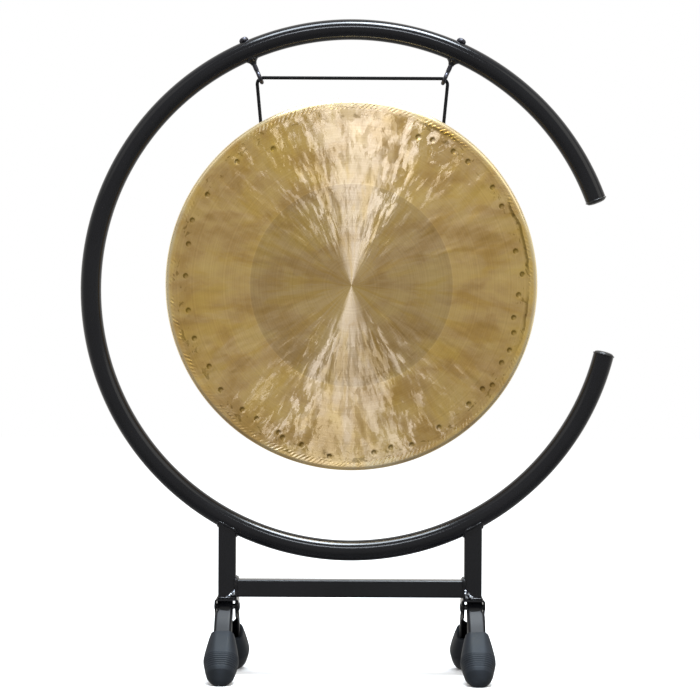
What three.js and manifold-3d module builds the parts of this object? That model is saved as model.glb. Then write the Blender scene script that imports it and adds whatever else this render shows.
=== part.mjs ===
// A gong on its table stand: an open steel hoop on two short posts, folding legs with rubber feet,
// and a turned-edge gong that swings on a cord between two eye bolts.
// Millimetres, +Z up, the floor at z = 0, the player's side at -Y.

import * as THREE from 'three';
import { mergeVertices } from 'three/addons/utils/BufferGeometryUtils.js';
import Module from 'manifold-3d';

const wasm = await Module();
wasm.setup();

// Hoop: a round tube bent into a ring, open on its right side
const hoopRadius = 281.3;          // to the middle of the tube
const tubeRadius = 11.1;
const tubeWall = 1.5;
const openingTopAngle = 20.6;      // degrees from level, where the tube ends above the opening
const openingBottomAngle = -14.3;

// End plugs: a stem in the tube, a thin flange and a low dome
const plugStemLength = 12;
const plugFlangeLip = 0.6;         // how far the flange stands out past the tube
const plugFlangeThickness = 1.4;
const plugDomeHeight = 2.8;

// Posts and crossbar: square tube, welded
const postSpacing = 265;           // between the middles of the two posts
const squareSize = 19;
const squareWall = 1.5;
const squareCorner = 2;            // outside corner radius
const postFoot = 85.3;             // height of the posts' lower ends
const crossbarLift = 1.2;          // the crossbar's underside above the posts' lower ends
const hoopLift = 40.1;             // the hoop's underside above them

// Leg brackets: a sheet bent to an upside-down U under each post
const bracketWidth = 26;
const bracketSheet = 2;
const bracketHeight = 17.4;
const bracketDepth = 28;
const bracketBend = 3.2;           // outside radius of the two bends
const bracketCheek = 8;            // round of each ear about the pivot
const cheekRise = 20;              // degrees below level where that round starts, each side

// Pivot rivets
const pivotDrop = 9.2;             // below the top of the bracket
const rivetRadius = 3;
const rivetHeadRadius = 4.6;
const rivetHeadHeight = 0.9;

// Legs: channels pressed from sheet, steep at the pivot and flatter at the foot
const legWidth = 19;
const legSheet = 1.6;
const legOffset = 3.3;             // front legs sit this far outwards, rear legs this far inwards
const legFace = 8.1;               // face of the channel, square to the line through the pivot
const legLip = 7.5;                // free edges of the channel, on the other side of that line
const legTopTilt = 36;             // degrees from upright
const legFootTilt = 46;
const legBendStart = 12;           // along the leg from the pivot
const legBendEnd = 40;
const legJog = 11;                 // where the channel widens below the bracket
const faceTop = 8;                 // where a front leg's face starts
const rearFaceTop = 12;            // where a rear leg's face starts beside its notch
const rearNotchDepth = 12;
const earGap = 0.7;                // between a leg's ear and the bracket beside it

// Rubber feet: blunt boots pushed onto the legs
const bootStart = 35;              // along the leg from the pivot
const bootHold = 26;               // depth of the pocket for the leg
const bootSlack = 1;               // between the leg's end and the bottom of the pocket
const bootLength = 68;
const bootHalfWidth = 18.7;
const bootTopReach = 15.6;         // from the leg's line to the skin on the face side
const bootSoleReach = 15.6;        // and on the other side
const bootSquareness = 2.6;        // 2 is an ellipse, more is squarer
// Sections along the boot, each size as a share of the boot's own
const bootSectionShares = [
  { along: 0, width: 0.66, top: 0.70, sole: 0.66 },
  { along: 0.10, width: 0.75, top: 0.77, sole: 0.74 },
  { along: 0.31, width: 0.88, top: 0.90, sole: 0.88 },
  { along: 0.46, width: 0.97, top: 0.97, sole: 0.96 },
  { along: 0.55, width: 1, top: 1, sole: 1 },
  { along: 0.67, width: 0.93, top: 0.93, sole: 1 },
  { along: 0.79, width: 0.82, top: 0.79, sole: 0.97 },
  { along: 0.89, width: 0.68, top: 0.57, sole: 0.85 },
  { along: 0.96, width: 0.48, top: 0.33, sole: 0.62 },
  { along: 1, width: 0.20, top: 0.12, sole: 0.25 },
];

// Eye bolts, each with a flared collar inside the hoop and a cap nut outside
const boltSpread = 23.6;           // degrees each side of the hoop's top
const boltShank = 2.5;
const eyeReach = 28.2;             // from the hoop's inner side to the tip of the eye
const eyeWire = 2.2;
const eyeRadius = 6;               // to the middle of the eye's wire
const collarRadius = 7;
const collarNeck = 3.2;
const collarHeight = 5;
const nutRadius = 5.8;             // across corners, halved
const nutHeight = 2.2;
const nutDome = 2.3;
const nutDomeRadius = 4.6;
const boltStub = 2.4;              // thread inside the cap nut

// Gong: spun sheet with its edge turned back
const gongClear = 69.2;            // between the gong's edge and the inside of the hoop
const gongSheet = 1.6;
const gongCrown = 3;               // how far the middle stands proud
const gongEdgeRound = 5;
const gongRim = 28;                // depth of the turned edge
const gongRimDraw = 5;             // how much smaller the turned edge is at the back
const gongFlatShare = 0.546;       // edge of the raised middle as a share of the radius
const gongDropShare = 0.5;         // share of the crown that is lost by that edge

// Cord: from a knot in the gong's edge through both eyes and back
const cordRadius = 1.7;
const cordBend = 6.8;              // bend where the cord turns over an eye
const dropLength = 51.6;           // from the level run of the cord down to the holes
const holeInset = 4.7;             // holes in the gong's edge, inwards of where the cord turns down
const holeBack = 13;               // behind the gong's face
const holeRadius = 2.6;
const knotRadius = 4.8;

// Clearances
const fitGap = 0.3;                // between pieces that touch
const overrun = 3;                 // how far cuts run past what they cut

// Angles
const fullTurn = 360;
const postReach = 6;               // degrees of hoop that a post's cut covers, each side

// Facets
const tubeSides = 18;
const boreSides = 10;
const hoopSteps = 56;
const saddleSteps = 4;
const gongSides = 60;
const gongCrownSteps = 3;
const roundSides = 20;
const smallSides = 16;
const nutSides = 6;
const cordSides = 8;
const cordStraightStep = 10;       // distance between rings of a straight cord
const cordBendStep = 2.5;          // and of a bent one
const cornerSteps = 3;
const bendSteps = 4;
const domeSteps = 4;
const flareSteps = 5;
const cheekSteps = 12;
const legSteps = 6;
const earSteps = 8;

const degrees = Math.PI / 180;

// Sizes that follow from the ones above
const hoopHeight = postFoot + hoopLift + tubeRadius + hoopRadius;
const legLength = bootStart + bootHold - bootSlack;
const gongRadius = hoopRadius - tubeRadius - gongClear;

// Colours and finishes
const paint = new THREE.MeshStandardMaterial({ color: 0x1d1d1f, roughness: 0.22, metalness: 0 });
const plastic = new THREE.MeshStandardMaterial({ color: 0x1a1a1b, roughness: 0.4, metalness: 0 });
const rubber = new THREE.MeshStandardMaterial({ color: 0x3a3d42, roughness: 0.6, metalness: 0 });
const steel = new THREE.MeshStandardMaterial({ color: 0xb8babd, roughness: 0.3, metalness: 1 });
const blackSteel = new THREE.MeshStandardMaterial({ color: 0x2a2b2d, roughness: 0.3, metalness: 0.6 });
const bronze = new THREE.MeshStandardMaterial({ color: 0xb0905a, roughness: 0.35, metalness: 1 });
const braid = new THREE.MeshStandardMaterial({ color: 0x141414, roughness: 0.85, metalness: 0 });

// Joining and cutting
const toSolid = (geometry) => {
  const bare = geometry.clone();
  bare.deleteAttribute('normal');
  bare.deleteAttribute('uv');
  const merged = mergeVertices(bare);
  return new wasm.Manifold(new wasm.Mesh({
    numProp: 3,
    vertProperties: new Float32Array(merged.attributes.position.array),
    triVerts: new Uint32Array(merged.index.array),
  }));
};

const toGeometry = (solid) => {
  const mesh = solid.getMesh();
  const geometry = new THREE.BufferGeometry();
  geometry.setAttribute('position', new THREE.BufferAttribute(mesh.vertProperties, 3));
  geometry.setIndex(new THREE.BufferAttribute(mesh.triVerts, 1));
  geometry.computeVertexNormals();
  return geometry;
};

const cut = (geometry, cutters) => {
  let solid = toSolid(geometry);
  for (const cutter of cutters) solid = solid.subtract(toSolid(cutter));
  return toGeometry(solid);
};

const join = (pieces) => {
  let solid = toSolid(pieces[0]);
  for (const piece of pieces.slice(1)) solid = solid.add(toSolid(piece));
  return toGeometry(solid);
};

// Shapes that several pieces share
const circlePoints = (radius, sides) => {
  const points = [];
  for (let i = 0; i < sides; i += 1) {
    const angle = (i + 0.5) / sides * Math.PI * 2;
    points.push(new THREE.Vector2(radius * Math.cos(angle), radius * Math.sin(angle)));
  }
  return points;
};

const arcPoints = (centreX, centreY, radius, from, to, steps) => {
  const points = [];
  for (let i = 0; i <= steps; i += 1) {
    const angle = (from + (to - from) * i / steps) * degrees;
    points.push(new THREE.Vector2(centreX + radius * Math.cos(angle), centreY + radius * Math.sin(angle)));
  }
  return points;
};

// An outline in the plane of depth and height, given thickness from one x to another
const sideways = new THREE.Matrix4().makeBasis(
  new THREE.Vector3(0, 1, 0),
  new THREE.Vector3(0, 0, 1),
  new THREE.Vector3(1, 0, 0),
);
const sidePlate = (outline, fromX, toX) => {
  const depth = toX - fromX;
  const plate = new THREE.ExtrudeGeometry(new THREE.Shape(outline), { depth, bevelEnabled: false });
  return plate.applyMatrix4(sideways).translate(fromX, 0, 0);
};

// A rod along X, centred
const crossRod = (radius, length) => new THREE.CylinderGeometry(radius, radius, length, roundSides)
  .rotateZ(Math.PI / 2);

const roundedSquare = (size, corner) => {
  const inset = size / 2 - corner;
  return [
    ...arcPoints(inset, inset, corner, 0, 90, cornerSteps),
    ...arcPoints(-inset, inset, corner, 90, 180, cornerSteps),
    ...arcPoints(-inset, -inset, corner, 180, 270, cornerSteps),
    ...arcPoints(inset, -inset, corner, 270, 360, cornerSteps),
  ];
};

// Square tube along its own Z, from zero to its length
const squareTube = (length) => {
  const shape = new THREE.Shape(roundedSquare(squareSize, squareCorner));
  const bore = roundedSquare(squareSize - 2 * squareWall, squareCorner - squareWall);
  shape.holes.push(new THREE.Path(bore));
  return new THREE.ExtrudeGeometry(shape, { depth: length, bevelEnabled: false });
};

// The middle line of the hoop, from the tube's end above the opening round to the end below it
class HoopLine extends THREE.Curve {
  constructor(fromAngle, toAngle) {
    super();
    this.fromAngle = fromAngle;
    this.toAngle = toAngle;
  }

  getPoint(share) {
    const angle = (this.fromAngle + (this.toAngle - this.fromAngle) * share) * degrees;
    return new THREE.Vector3(hoopRadius * Math.cos(angle), 0, hoopRadius * Math.sin(angle));
  }
}

// A place on the hoop: distance from its middle and angle from level
const onHoop = (radius, angle) => new THREE.Vector3(
  radius * Math.cos(angle * degrees),
  0,
  hoopHeight + radius * Math.sin(angle * degrees),
);

// Turns a piece so that its own +Y lies along a direction in the hoop's plane and its +Z faces the player
const towardsPlayer = new THREE.Vector3(0, -1, 0);
const aimY = (piece, direction) => {
  const across = new THREE.Vector3().crossVectors(direction, towardsPlayer);
  piece.setRotationFromMatrix(new THREE.Matrix4().makeBasis(across, direction, towardsPlayer));
};

const namedMesh = (name, geometry, material) => {
  const mesh = new THREE.Mesh(geometry, material);
  mesh.name = name;
  return mesh;
};

// Hoop tube, bored through for the two eye bolts
function makeHoop() {
  const section = new THREE.Shape(circlePoints(tubeRadius, tubeSides));
  section.holes.push(new THREE.Path(circlePoints(tubeRadius - tubeWall, boreSides)));
  const tube = new THREE.ExtrudeGeometry(section, {
    steps: hoopSteps,
    bevelEnabled: false,
    extrudePath: new HoopLine(openingTopAngle, fullTurn + openingBottomAngle),
  });
  const drills = [-boltSpread, boltSpread].map((lean) => {
    const length = 2 * (tubeRadius + overrun);
    return new THREE.CylinderGeometry(boltShank + fitGap, boltShank + fitGap, length, smallSides)
      .translate(0, hoopRadius, 0)
      .rotateX(Math.PI / 2)
      .rotateY(lean * degrees);
  });
  const hoop = namedMesh('hoop_tube', cut(tube, drills), paint);
  hoop.position.z = hoopHeight;
  return hoop;
}

// A plug for one end of the tube, its dome along +Y
function makePlug(name, angle, outward) {
  const boreFlat = (tubeRadius - tubeWall) * Math.cos(Math.PI / boreSides);
  const arcSlack = plugStemLength * plugStemLength / hoopRadius;
  const stemRadius = boreFlat - fitGap - arcSlack;
  const flangeRadius = tubeRadius + plugFlangeLip;
  const profile = [
    new THREE.Vector2(0, -plugStemLength),
    new THREE.Vector2(stemRadius, -plugStemLength),
    new THREE.Vector2(stemRadius, fitGap),
    new THREE.Vector2(flangeRadius, fitGap),
    new THREE.Vector2(flangeRadius, fitGap + plugFlangeThickness),
  ];
  for (let i = 1; i <= domeSteps; i += 1) {
    const turn = i / domeSteps * Math.PI / 2;
    const height = fitGap + plugFlangeThickness + plugDomeHeight * Math.sin(turn);
    profile.push(new THREE.Vector2(flangeRadius * Math.cos(turn), height));
  }
  profile[profile.length - 1].x = 0;
  const plug = namedMesh(name, new THREE.LatheGeometry(profile, tubeSides), plastic);
  plug.position.copy(onHoop(hoopRadius, angle));
  const along = new THREE.Vector3(-Math.sin(angle * degrees), 0, Math.cos(angle * degrees));
  aimY(plug, along.multiplyScalar(outward));
  return plug;
}

// Cuts that clear the hoop's tube are this round, so that their flats clear it too
const clearRadius = (tubeRadius + fitGap) / Math.cos(Math.PI / tubeSides);

// A post of square tube, its top shaped to sit round the underside of the hoop
function makePost(name, side) {
  const across = side * postSpacing / 2;
  const topHeight = hoopHeight - Math.sqrt(hoopRadius ** 2 - across ** 2);
  const angle = Math.atan2(topHeight - hoopHeight, across) / degrees;
  const saddle = new THREE.ExtrudeGeometry(new THREE.Shape(circlePoints(clearRadius, tubeSides)), {
    steps: saddleSteps,
    bevelEnabled: false,
    extrudePath: new HoopLine(angle - postReach, angle + postReach),
  }).translate(-across, 0, hoopHeight - postFoot);
  const post = namedMesh(name, cut(squareTube(topHeight - postFoot), [saddle]), paint);
  post.position.set(across, 0, postFoot);
  return post;
}

function makeCrossbar() {
  const length = postSpacing - squareSize - 2 * fitGap;
  const crossbar = namedMesh('crossbar', squareTube(length).translate(0, 0, -length / 2), paint);
  crossbar.rotation.y = Math.PI / 2;
  crossbar.position.z = postFoot + crossbarLift + squareSize / 2;
  return crossbar;
}

// Bracket: the bent sheet seen from the front, trimmed to two round ears seen from the side
const bracketTop = postFoot - fitGap;
const pivotHeight = bracketTop - pivotDrop;
const stopRise = pivotDrop - bracketSheet - fitGap;

function makeBracket(name, side) {
  const half = bracketWidth / 2;
  const inner = half - bracketSheet;
  const innerBend = bracketBend - bracketSheet;
  const sheet = new THREE.Shape([
    new THREE.Vector2(-half, -bracketHeight),
    new THREE.Vector2(-inner, -bracketHeight),
    ...arcPoints(-inner + innerBend, -bracketSheet - innerBend, innerBend, 180, 90, bendSteps),
    ...arcPoints(inner - innerBend, -bracketSheet - innerBend, innerBend, 90, 0, bendSteps),
    new THREE.Vector2(inner, -bracketHeight),
    new THREE.Vector2(half, -bracketHeight),
    ...arcPoints(half - bracketBend, -bracketBend, bracketBend, 0, 90, bendSteps),
    ...arcPoints(-half + bracketBend, -bracketBend, bracketBend, 90, 180, bendSteps),
  ]);
  const bent = new THREE.ExtrudeGeometry(sheet, { depth: bracketDepth, bevelEnabled: false })
    .rotateX(Math.PI / 2)
    .translate(0, bracketDepth / 2, 0);
  const shoulder = bracketSheet + bracketBend;
  const ear = sidePlate([
    new THREE.Vector2(bracketDepth / 2 + overrun, overrun),
    new THREE.Vector2(-bracketDepth / 2 - overrun, overrun),
    new THREE.Vector2(-bracketDepth / 2 - overrun, -shoulder),
    new THREE.Vector2(-bracketDepth / 2, -shoulder),
    ...arcPoints(0, -pivotDrop, bracketCheek, fullTurn / 2 + cheekRise, fullTurn - cheekRise, cheekSteps),
    new THREE.Vector2(bracketDepth / 2, -shoulder),
    new THREE.Vector2(bracketDepth / 2 + overrun, -shoulder),
  ], -half - overrun, half + overrun);
  const hole = crossRod(rivetRadius + fitGap, bracketWidth + 2 * overrun).translate(0, 0, -pivotDrop);
  const trimmed = toSolid(bent).intersect(toSolid(ear)).subtract(toSolid(hole));
  const bracket = namedMesh(name, toGeometry(trimmed), paint);
  bracket.position.set(side * postSpacing / 2, 0, bracketTop);
  return bracket;
}

function makeRivet(name, side) {
  const inner = bracketWidth / 2 + fitGap;
  const outer = inner + rivetHeadHeight;
  const profile = [
    new THREE.Vector2(0, -outer),
    new THREE.Vector2(rivetRadius, -outer),
    new THREE.Vector2(rivetHeadRadius, -inner - rivetHeadHeight / 2),
    new THREE.Vector2(rivetHeadRadius, -inner),
    new THREE.Vector2(rivetRadius, -inner),
    new THREE.Vector2(rivetRadius, inner),
    new THREE.Vector2(rivetHeadRadius, inner),
    new THREE.Vector2(rivetHeadRadius, inner + rivetHeadHeight / 2),
    new THREE.Vector2(rivetRadius, outer),
    new THREE.Vector2(0, outer),
  ];
  const rivet = namedMesh(name, new THREE.LatheGeometry(profile, smallSides), steel);
  rivet.rotation.z = Math.PI / 2;
  rivet.position.set(side * postSpacing / 2, 0, pivotHeight);
  return rivet;
}

// A place on a leg that leans towards -Y: along it from the pivot, and out from its line towards its face
function onLeg(along, out) {
  const bendLength = legBendEnd - legBendStart;
  const bendRadius = bendLength / ((legFootTilt - legTopTilt) * degrees);
  const bendShare = THREE.MathUtils.clamp((along - legBendStart) / bendLength, 0, 1);
  const topTilt = legTopTilt * degrees;
  const tilt = topTilt + (legFootTilt - legTopTilt) * degrees * bendShare;
  const start = Math.min(along, legBendStart);
  const tail = Math.max(along - legBendEnd, 0);
  const bendBack = bendRadius * (Math.cos(topTilt) - Math.cos(tilt));
  const bendDown = bendRadius * (Math.sin(tilt) - Math.sin(topTilt));
  return new THREE.Vector2(
    -start * Math.sin(topTilt) - bendBack - tail * Math.sin(tilt) - out * Math.cos(tilt),
    -start * Math.cos(topTilt) - bendDown - tail * Math.cos(tilt) + out * Math.sin(tilt),
  );
}

// A strip of the leg's side view between two distances along it and two distances out from its line
function legStrip(fromAlong, toAlong, lowOut, highOut) {
  const alongs = [fromAlong];
  for (let i = 0; i <= legSteps; i += 1) {
    const along = legBendStart + (legBendEnd - legBendStart) * i / legSteps;
    if (along > fromAlong && along < toAlong) alongs.push(along);
  }
  alongs.push(toAlong);
  const high = alongs.map((along) => onLeg(along, highOut));
  const low = alongs.map((along) => onLeg(along, lowOut)).reverse();
  return [...high, ...low];
}

// Front legs lean to -Y and sit outwards; a rear leg is a front leg turned half round and notched
function makeLeg(name, outwards, isRear) {
  const half = legWidth / 2;
  const lean = outwards * legOffset;
  const earOuter = bracketWidth / 2 - bracketSheet - earGap;
  const heelAlong = (legFace * Math.sin(legTopTilt * degrees) - stopRise) / Math.cos(legTopTilt * degrees);
  const earAlong = Math.sqrt(stopRise ** 2 - legLip ** 2 / 2);
  const lipOut = -Math.sqrt(stopRise ** 2 - earAlong ** 2);
  const earEnd = onLeg(earAlong, lipOut);
  const body = legStrip(heelAlong, legLength, -legLip, legFace);
  const highSide = body.slice(0, body.length / 2);
  const lowSide = body.slice(body.length / 2, -1);
  const outline = [
    ...highSide,
    ...lowSide,
    onLeg(legJog, -legLip),
    ...arcPoints(0, 0, stopRise, Math.atan2(earEnd.y, earEnd.x) / degrees, fullTurn / 4, earSteps),
  ];
  const blank = sidePlate(outline, lean - half, lean + half);

  // Signed places across the leg, from the middle of the bracket: the outer side, the ear and the inner side
  const outer = outwards * (half + legOffset);
  const ear = outwards * earOuter;
  const inner = outwards * (legOffset - half);
  const wall = outwards * legSheet;
  const between = (outlinePoints, a, b) => sidePlate(outlinePoints, Math.min(a, b), Math.max(a, b));
  const far = legFace + legLip;
  const above = -stopRise - far;
  const end = legLength + overrun;
  const back = legFace - legSheet;
  const cuts = [
    between(legStrip(above, legJog, -far, far), ear, outer + outwards * overrun),
    between(legStrip(above, isRear ? rearFaceTop : faceTop, -far, far), ear - wall, inner + wall),
    between(legStrip(above, legJog + legSheet + overrun, -far, back), ear - wall, inner + wall),
    between(legStrip(legJog + legSheet, end, -far, back), outer - wall, inner + wall),
    crossRod(rivetRadius + fitGap, 2 * bracketWidth),
  ];
  if (isRear) {
    const notchRadius = half - 2 * legSheet;
    const notch = new THREE.CylinderGeometry(notchRadius, notchRadius, 2 * legFace, roundSides)
      .scale(1, 1, rearNotchDepth / notchRadius)
      .rotateX((fullTurn / 2 - legTopTilt) * degrees);
    const seat = onLeg(rearFaceTop, legFace);
    cuts.push(notch.translate(lean, seat.x, seat.y));
  }
  return namedMesh(name, cut(blank, cuts), paint);
}

// A boot skin through the sections, closed at both ends
function bootSkin(lean) {
  const sides = roundSides;
  const positions = [];
  const indices = [];
  const squared = (value) => Math.sign(value) * Math.abs(value) ** (2 / bootSquareness);
  const ring = (section) => {
    for (let i = 0; i < sides; i += 1) {
      const angle = i / sides * Math.PI * 2;
      const across = squared(Math.cos(angle));
      const out = squared(Math.sin(angle));
      const reach = out > 0 ? section.top * bootTopReach : section.sole * bootSoleReach;
      const place = onLeg(bootStart + section.along * bootLength, out * reach);
      positions.push(lean + across * section.width * bootHalfWidth, place.x, place.y);
    }
  };
  bootSectionShares.forEach(ring);
  const rings = bootSectionShares.length;
  for (let r = 0; r < rings - 1; r += 1) {
    for (let i = 0; i < sides; i += 1) {
      const a = r * sides + i;
      const b = r * sides + (i + 1) % sides;
      indices.push(a, b, a + sides, b, b + sides, a + sides);
    }
  }
  const caps = [0, rings - 1];
  for (const r of caps) {
    const place = onLeg(bootStart + bootSectionShares[r].along * bootLength, 0);
    const middle = positions.length / 3;
    positions.push(lean, place.x, place.y);
    for (let i = 0; i < sides; i += 1) {
      const a = r * sides + i;
      const b = r * sides + (i + 1) % sides;
      indices.push(...(r === 0 ? [middle, b, a] : [middle, a, b]));
    }
  }
  const skin = new THREE.BufferGeometry();
  skin.setAttribute('position', new THREE.Float32BufferAttribute(positions, 3));
  skin.setIndex(indices);
  return skin;
}

function makeBoot(name, outwards) {
  const lean = outwards * legOffset;
  const half = legWidth / 2 + fitGap;
  const pocket = sidePlate(
    legStrip(bootStart - overrun, bootStart + bootHold, -legLip - fitGap, legFace + fitGap),
    lean - half,
    lean + half,
  );
  const reach = bootStart + bootLength;
  const floor = new THREE.BoxGeometry(2 * reach, 2 * reach, bootLength)
    .translate(lean, 0, -pivotHeight - bootLength / 2);
  return namedMesh(name, cut(bootSkin(lean), [pocket, floor]), rubber);
}

// One leg with its foot, in a group at its pivot
function makeLegGroup(place, side, isRear) {
  const group = new THREE.Group();
  group.add(makeLeg(`leg_${place}`, side, isRear), makeBoot(`rubber_foot_${place}`, side));
  group.position.set(side * postSpacing / 2, 0, pivotHeight);
  if (isRear) group.rotation.z = Math.PI;
  return group;
}

// Eye bolt: shank along its own Y with the eye at the far end, its middle on the middle of the tube
const eyeMiddle = tubeRadius + eyeReach - eyeWire - eyeRadius;

function makeEyeBolt() {
  const top = tubeRadius + fitGap + boltStub;
  const bottom = eyeMiddle - eyeRadius;
  const shank = new THREE.CylinderGeometry(boltShank, boltShank, top + bottom, smallSides)
    .translate(0, (top - bottom) / 2, 0);
  const eye = new THREE.TorusGeometry(eyeRadius, eyeWire, cordSides, roundSides)
    .rotateY(Math.PI / 2)
    .translate(0, -eyeMiddle, 0);
  return join([shank, eye]);
}

// Collar: a flared ring that fits the round of the hoop
function makeCollar() {
  const base = -tubeRadius + collarRadius / 2;
  const profile = [
    new THREE.Vector2(boltShank + fitGap, base),
    new THREE.Vector2(boltShank + fitGap, -tubeRadius - collarHeight),
  ];
  for (let i = 0; i <= flareSteps; i += 1) {
    const share = i / flareSteps;
    const flare = 1 - Math.cos(share * Math.PI / 2);
    profile.push(new THREE.Vector2(
      collarNeck + (collarRadius - collarNeck) * flare,
      -tubeRadius - collarHeight * (1 - share),
    ));
  }
  profile.push(new THREE.Vector2(collarRadius, base), new THREE.Vector2(boltShank + fitGap, base));
  const ring = new THREE.LatheGeometry(profile, roundSides);
  const length = 2 * (collarRadius + overrun);
  const tube = new THREE.CylinderGeometry(clearRadius, clearRadius, length, 2 * tubeSides)
    .rotateZ(Math.PI / 2);
  return cut(ring, [tube]);
}

// Cap nut: a six-sided base under a low dome, with a blind hole for the thread
function makeCapNut() {
  const base = tubeRadius + fitGap;
  const hexagon = new THREE.CylinderGeometry(nutRadius, nutRadius, nutHeight, nutSides)
    .translate(0, base + nutHeight / 2, 0);
  const profile = [
    new THREE.Vector2(0, base + nutHeight / 2),
    new THREE.Vector2(nutDomeRadius, base + nutHeight / 2),
  ];
  for (let i = 0; i <= domeSteps; i += 1) {
    const turn = i / domeSteps * Math.PI / 2;
    const height = base + nutHeight + nutDome * Math.sin(turn);
    profile.push(new THREE.Vector2(nutDomeRadius * Math.cos(turn), height));
  }
  profile[profile.length - 1].x = 0;
  const bore = boltShank + fitGap;
  const depth = boltStub + overrun;
  const hole = new THREE.CylinderGeometry(bore, bore, depth, smallSides)
    .translate(0, base + boltStub + fitGap - depth / 2, 0);
  return cut(join([hexagon, new THREE.LatheGeometry(profile, smallSides)]), [hole]);
}

// Bolt, collar and nut in one group whose +Y points away from the middle of the hoop
function makeBoltGroup(place, side) {
  const angle = fullTurn / 4 - side * boltSpread;
  const group = new THREE.Group();
  group.add(
    namedMesh(`eye_bolt_${place}`, makeEyeBolt(), blackSteel),
    namedMesh(`eye_collar_${place}`, makeCollar(), blackSteel),
    namedMesh(`cap_nut_${place}`, makeCapNut(), blackSteel),
  );
  group.position.copy(onHoop(hoopRadius, angle));
  aimY(group, new THREE.Vector3(Math.cos(angle * degrees), 0, Math.sin(angle * degrees)));
  return group;
}

// Where the cord turns over an eye's wire: the wire sits in the crook of the bend
const crookShift = cordBend - (eyeWire + cordRadius + fitGap);
const eyeTip = onHoop(hoopRadius - tubeRadius - eyeReach + eyeWire, fullTurn / 4 - boltSpread);
const bendMiddleX = eyeTip.x - crookShift * Math.SQRT1_2;
const bendMiddleZ = eyeTip.z - crookShift * Math.SQRT1_2;
const cordHeight = bendMiddleZ + cordBend;
const holeHeight = cordHeight - dropLength;
const holeSpacing = 2 * (bendMiddleX + cordBend - holeInset);

// The holes in the gong's edge, and how far below them the knots lie
const rimAtHole = gongRadius - gongRimDraw * holeBack / gongRim - gongSheet / 2;
const holeRise = Math.sqrt(rimAtHole ** 2 - (holeSpacing / 2) ** 2);
const holeLean = Math.asin(holeSpacing / 2 / rimAtHole);
const knotDrop = (knotRadius + fitGap + gongSheet / 2) / Math.cos(holeLean);

const cordSection = new THREE.Shape(circlePoints(cordRadius, cordSides));
const cordAlong = (extrudePath, steps) => new THREE.ExtrudeGeometry(cordSection, {
  steps,
  bevelEnabled: false,
  extrudePath,
});

function makeCordSpan() {
  const reach = bendMiddleX - fitGap / 2;
  const line = new THREE.LineCurve3(
    new THREE.Vector3(-reach, 0, cordHeight),
    new THREE.Vector3(reach, 0, cordHeight),
  );
  return namedMesh('cord_span', cordAlong(line, Math.round(2 * reach / cordStraightStep)), braid);
}

// One end of the cord: round its eye, then straight down behind the gong's edge and through the hole
class CordDropLine extends THREE.Curve {
  constructor(side) {
    super();
    this.side = side;
    this.end = new THREE.Vector2(holeSpacing / 2, holeHeight - knotDrop + knotRadius + fitGap);
    this.middle = new THREE.Vector2(bendMiddleX, bendMiddleZ);
    const toEnd = this.end.clone().sub(this.middle);
    this.lastAngle = Math.atan2(toEnd.y, toEnd.x) + Math.acos(cordBend / toEnd.length());
    this.bendLength = (Math.PI / 2 - this.lastAngle) * cordBend;
    this.leaves = this.onBend(this.lastAngle);
    this.total = this.bendLength + this.leaves.distanceTo(this.end);
  }

  onBend(angle) {
    return new THREE.Vector2(Math.cos(angle), Math.sin(angle)).multiplyScalar(cordBend).add(this.middle);
  }

  getPoint(share) {
    const run = share * this.total;
    const place = run < this.bendLength
      ? this.onBend(Math.PI / 2 - run / cordBend)
      : this.leaves.clone().lerp(this.end, (run - this.bendLength) / (this.total - this.bendLength));
    return new THREE.Vector3(this.side * place.x, 0, place.y);
  }
}

function makeCordDrop(place, side) {
  const route = new CordDropLine(side);
  return namedMesh(`cord_drop_${place}`, cordAlong(route, Math.round(route.total / cordBendStep)), braid);
}

// Knot: a round lump of cord that bears on the inside of the gong's edge, on the line of the drop
function makeKnot(place, side) {
  const lump = new THREE.SphereGeometry(knotRadius, smallSides, cordSides);
  const knot = namedMesh(`cord_knot_${place}`, lump, braid);
  knot.position.set(side * holeSpacing / 2, 0, holeHeight - knotDrop);
  return knot;
}

// Half section of the gong: across from its middle and back from its face
function gongProfile(inset) {
  const edge = gongRadius - gongEdgeRound;
  const flat = gongRadius * gongFlatShare;
  const points = [];
  for (let i = 0; i <= gongCrownSteps; i += 1) {
    const share = i / gongCrownSteps;
    points.push(new THREE.Vector2(flat * share, inset - gongCrown * (1 - gongDropShare * share ** 2)));
  }
  for (let i = 1; i < gongCrownSteps; i += 1) {
    const share = i / gongCrownSteps;
    const proud = gongCrown * (1 - gongDropShare) * (1 - share);
    points.push(new THREE.Vector2(flat + (edge - flat) * share, inset - proud));
  }
  points.push(...arcPoints(edge, gongEdgeRound, gongEdgeRound - inset, -fullTurn / 4, 0, bendSteps));
  points.push(new THREE.Vector2(gongRadius - gongRimDraw - inset, gongRim));
  return points;
}

// Outside first, then inside from the rim back to the middle
const makeBowl = () => {
  const profile = [...gongProfile(0), ...gongProfile(gongSheet).reverse()];
  return new THREE.LatheGeometry(profile, gongSides);
};

// The gong hangs with its weight straight below its holes, so its face leans a little down
const faceArea = Math.PI * gongRadius ** 2;
const rimArea = 2 * Math.PI * gongRadius * gongRim;
const weightBack = (rimArea * gongRim / 2 - faceArea * gongCrown / 2) / (faceArea + rimArea) + gongSheet / 2;
const hangTilt = Math.atan2(holeBack - weightBack, holeRise);

function makeGongGroup() {
  const group = new THREE.Group();
  const drill = new THREE.CylinderGeometry(holeRadius, holeRadius, 2 * gongRim, smallSides)
    .rotateX(Math.PI / 2 - hangTilt);
  const holes = [-1, 1].map((side) => drill.clone().translate(side * holeSpacing / 2, holeBack, holeRise));
  const gong = namedMesh('gong', cut(makeBowl(), holes), bronze);
  gong.position.set(0, -holeBack, -holeRise);
  group.add(gong);
  group.rotation.x = hangTilt;
  group.position.z = holeHeight;
  return group;
}

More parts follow.
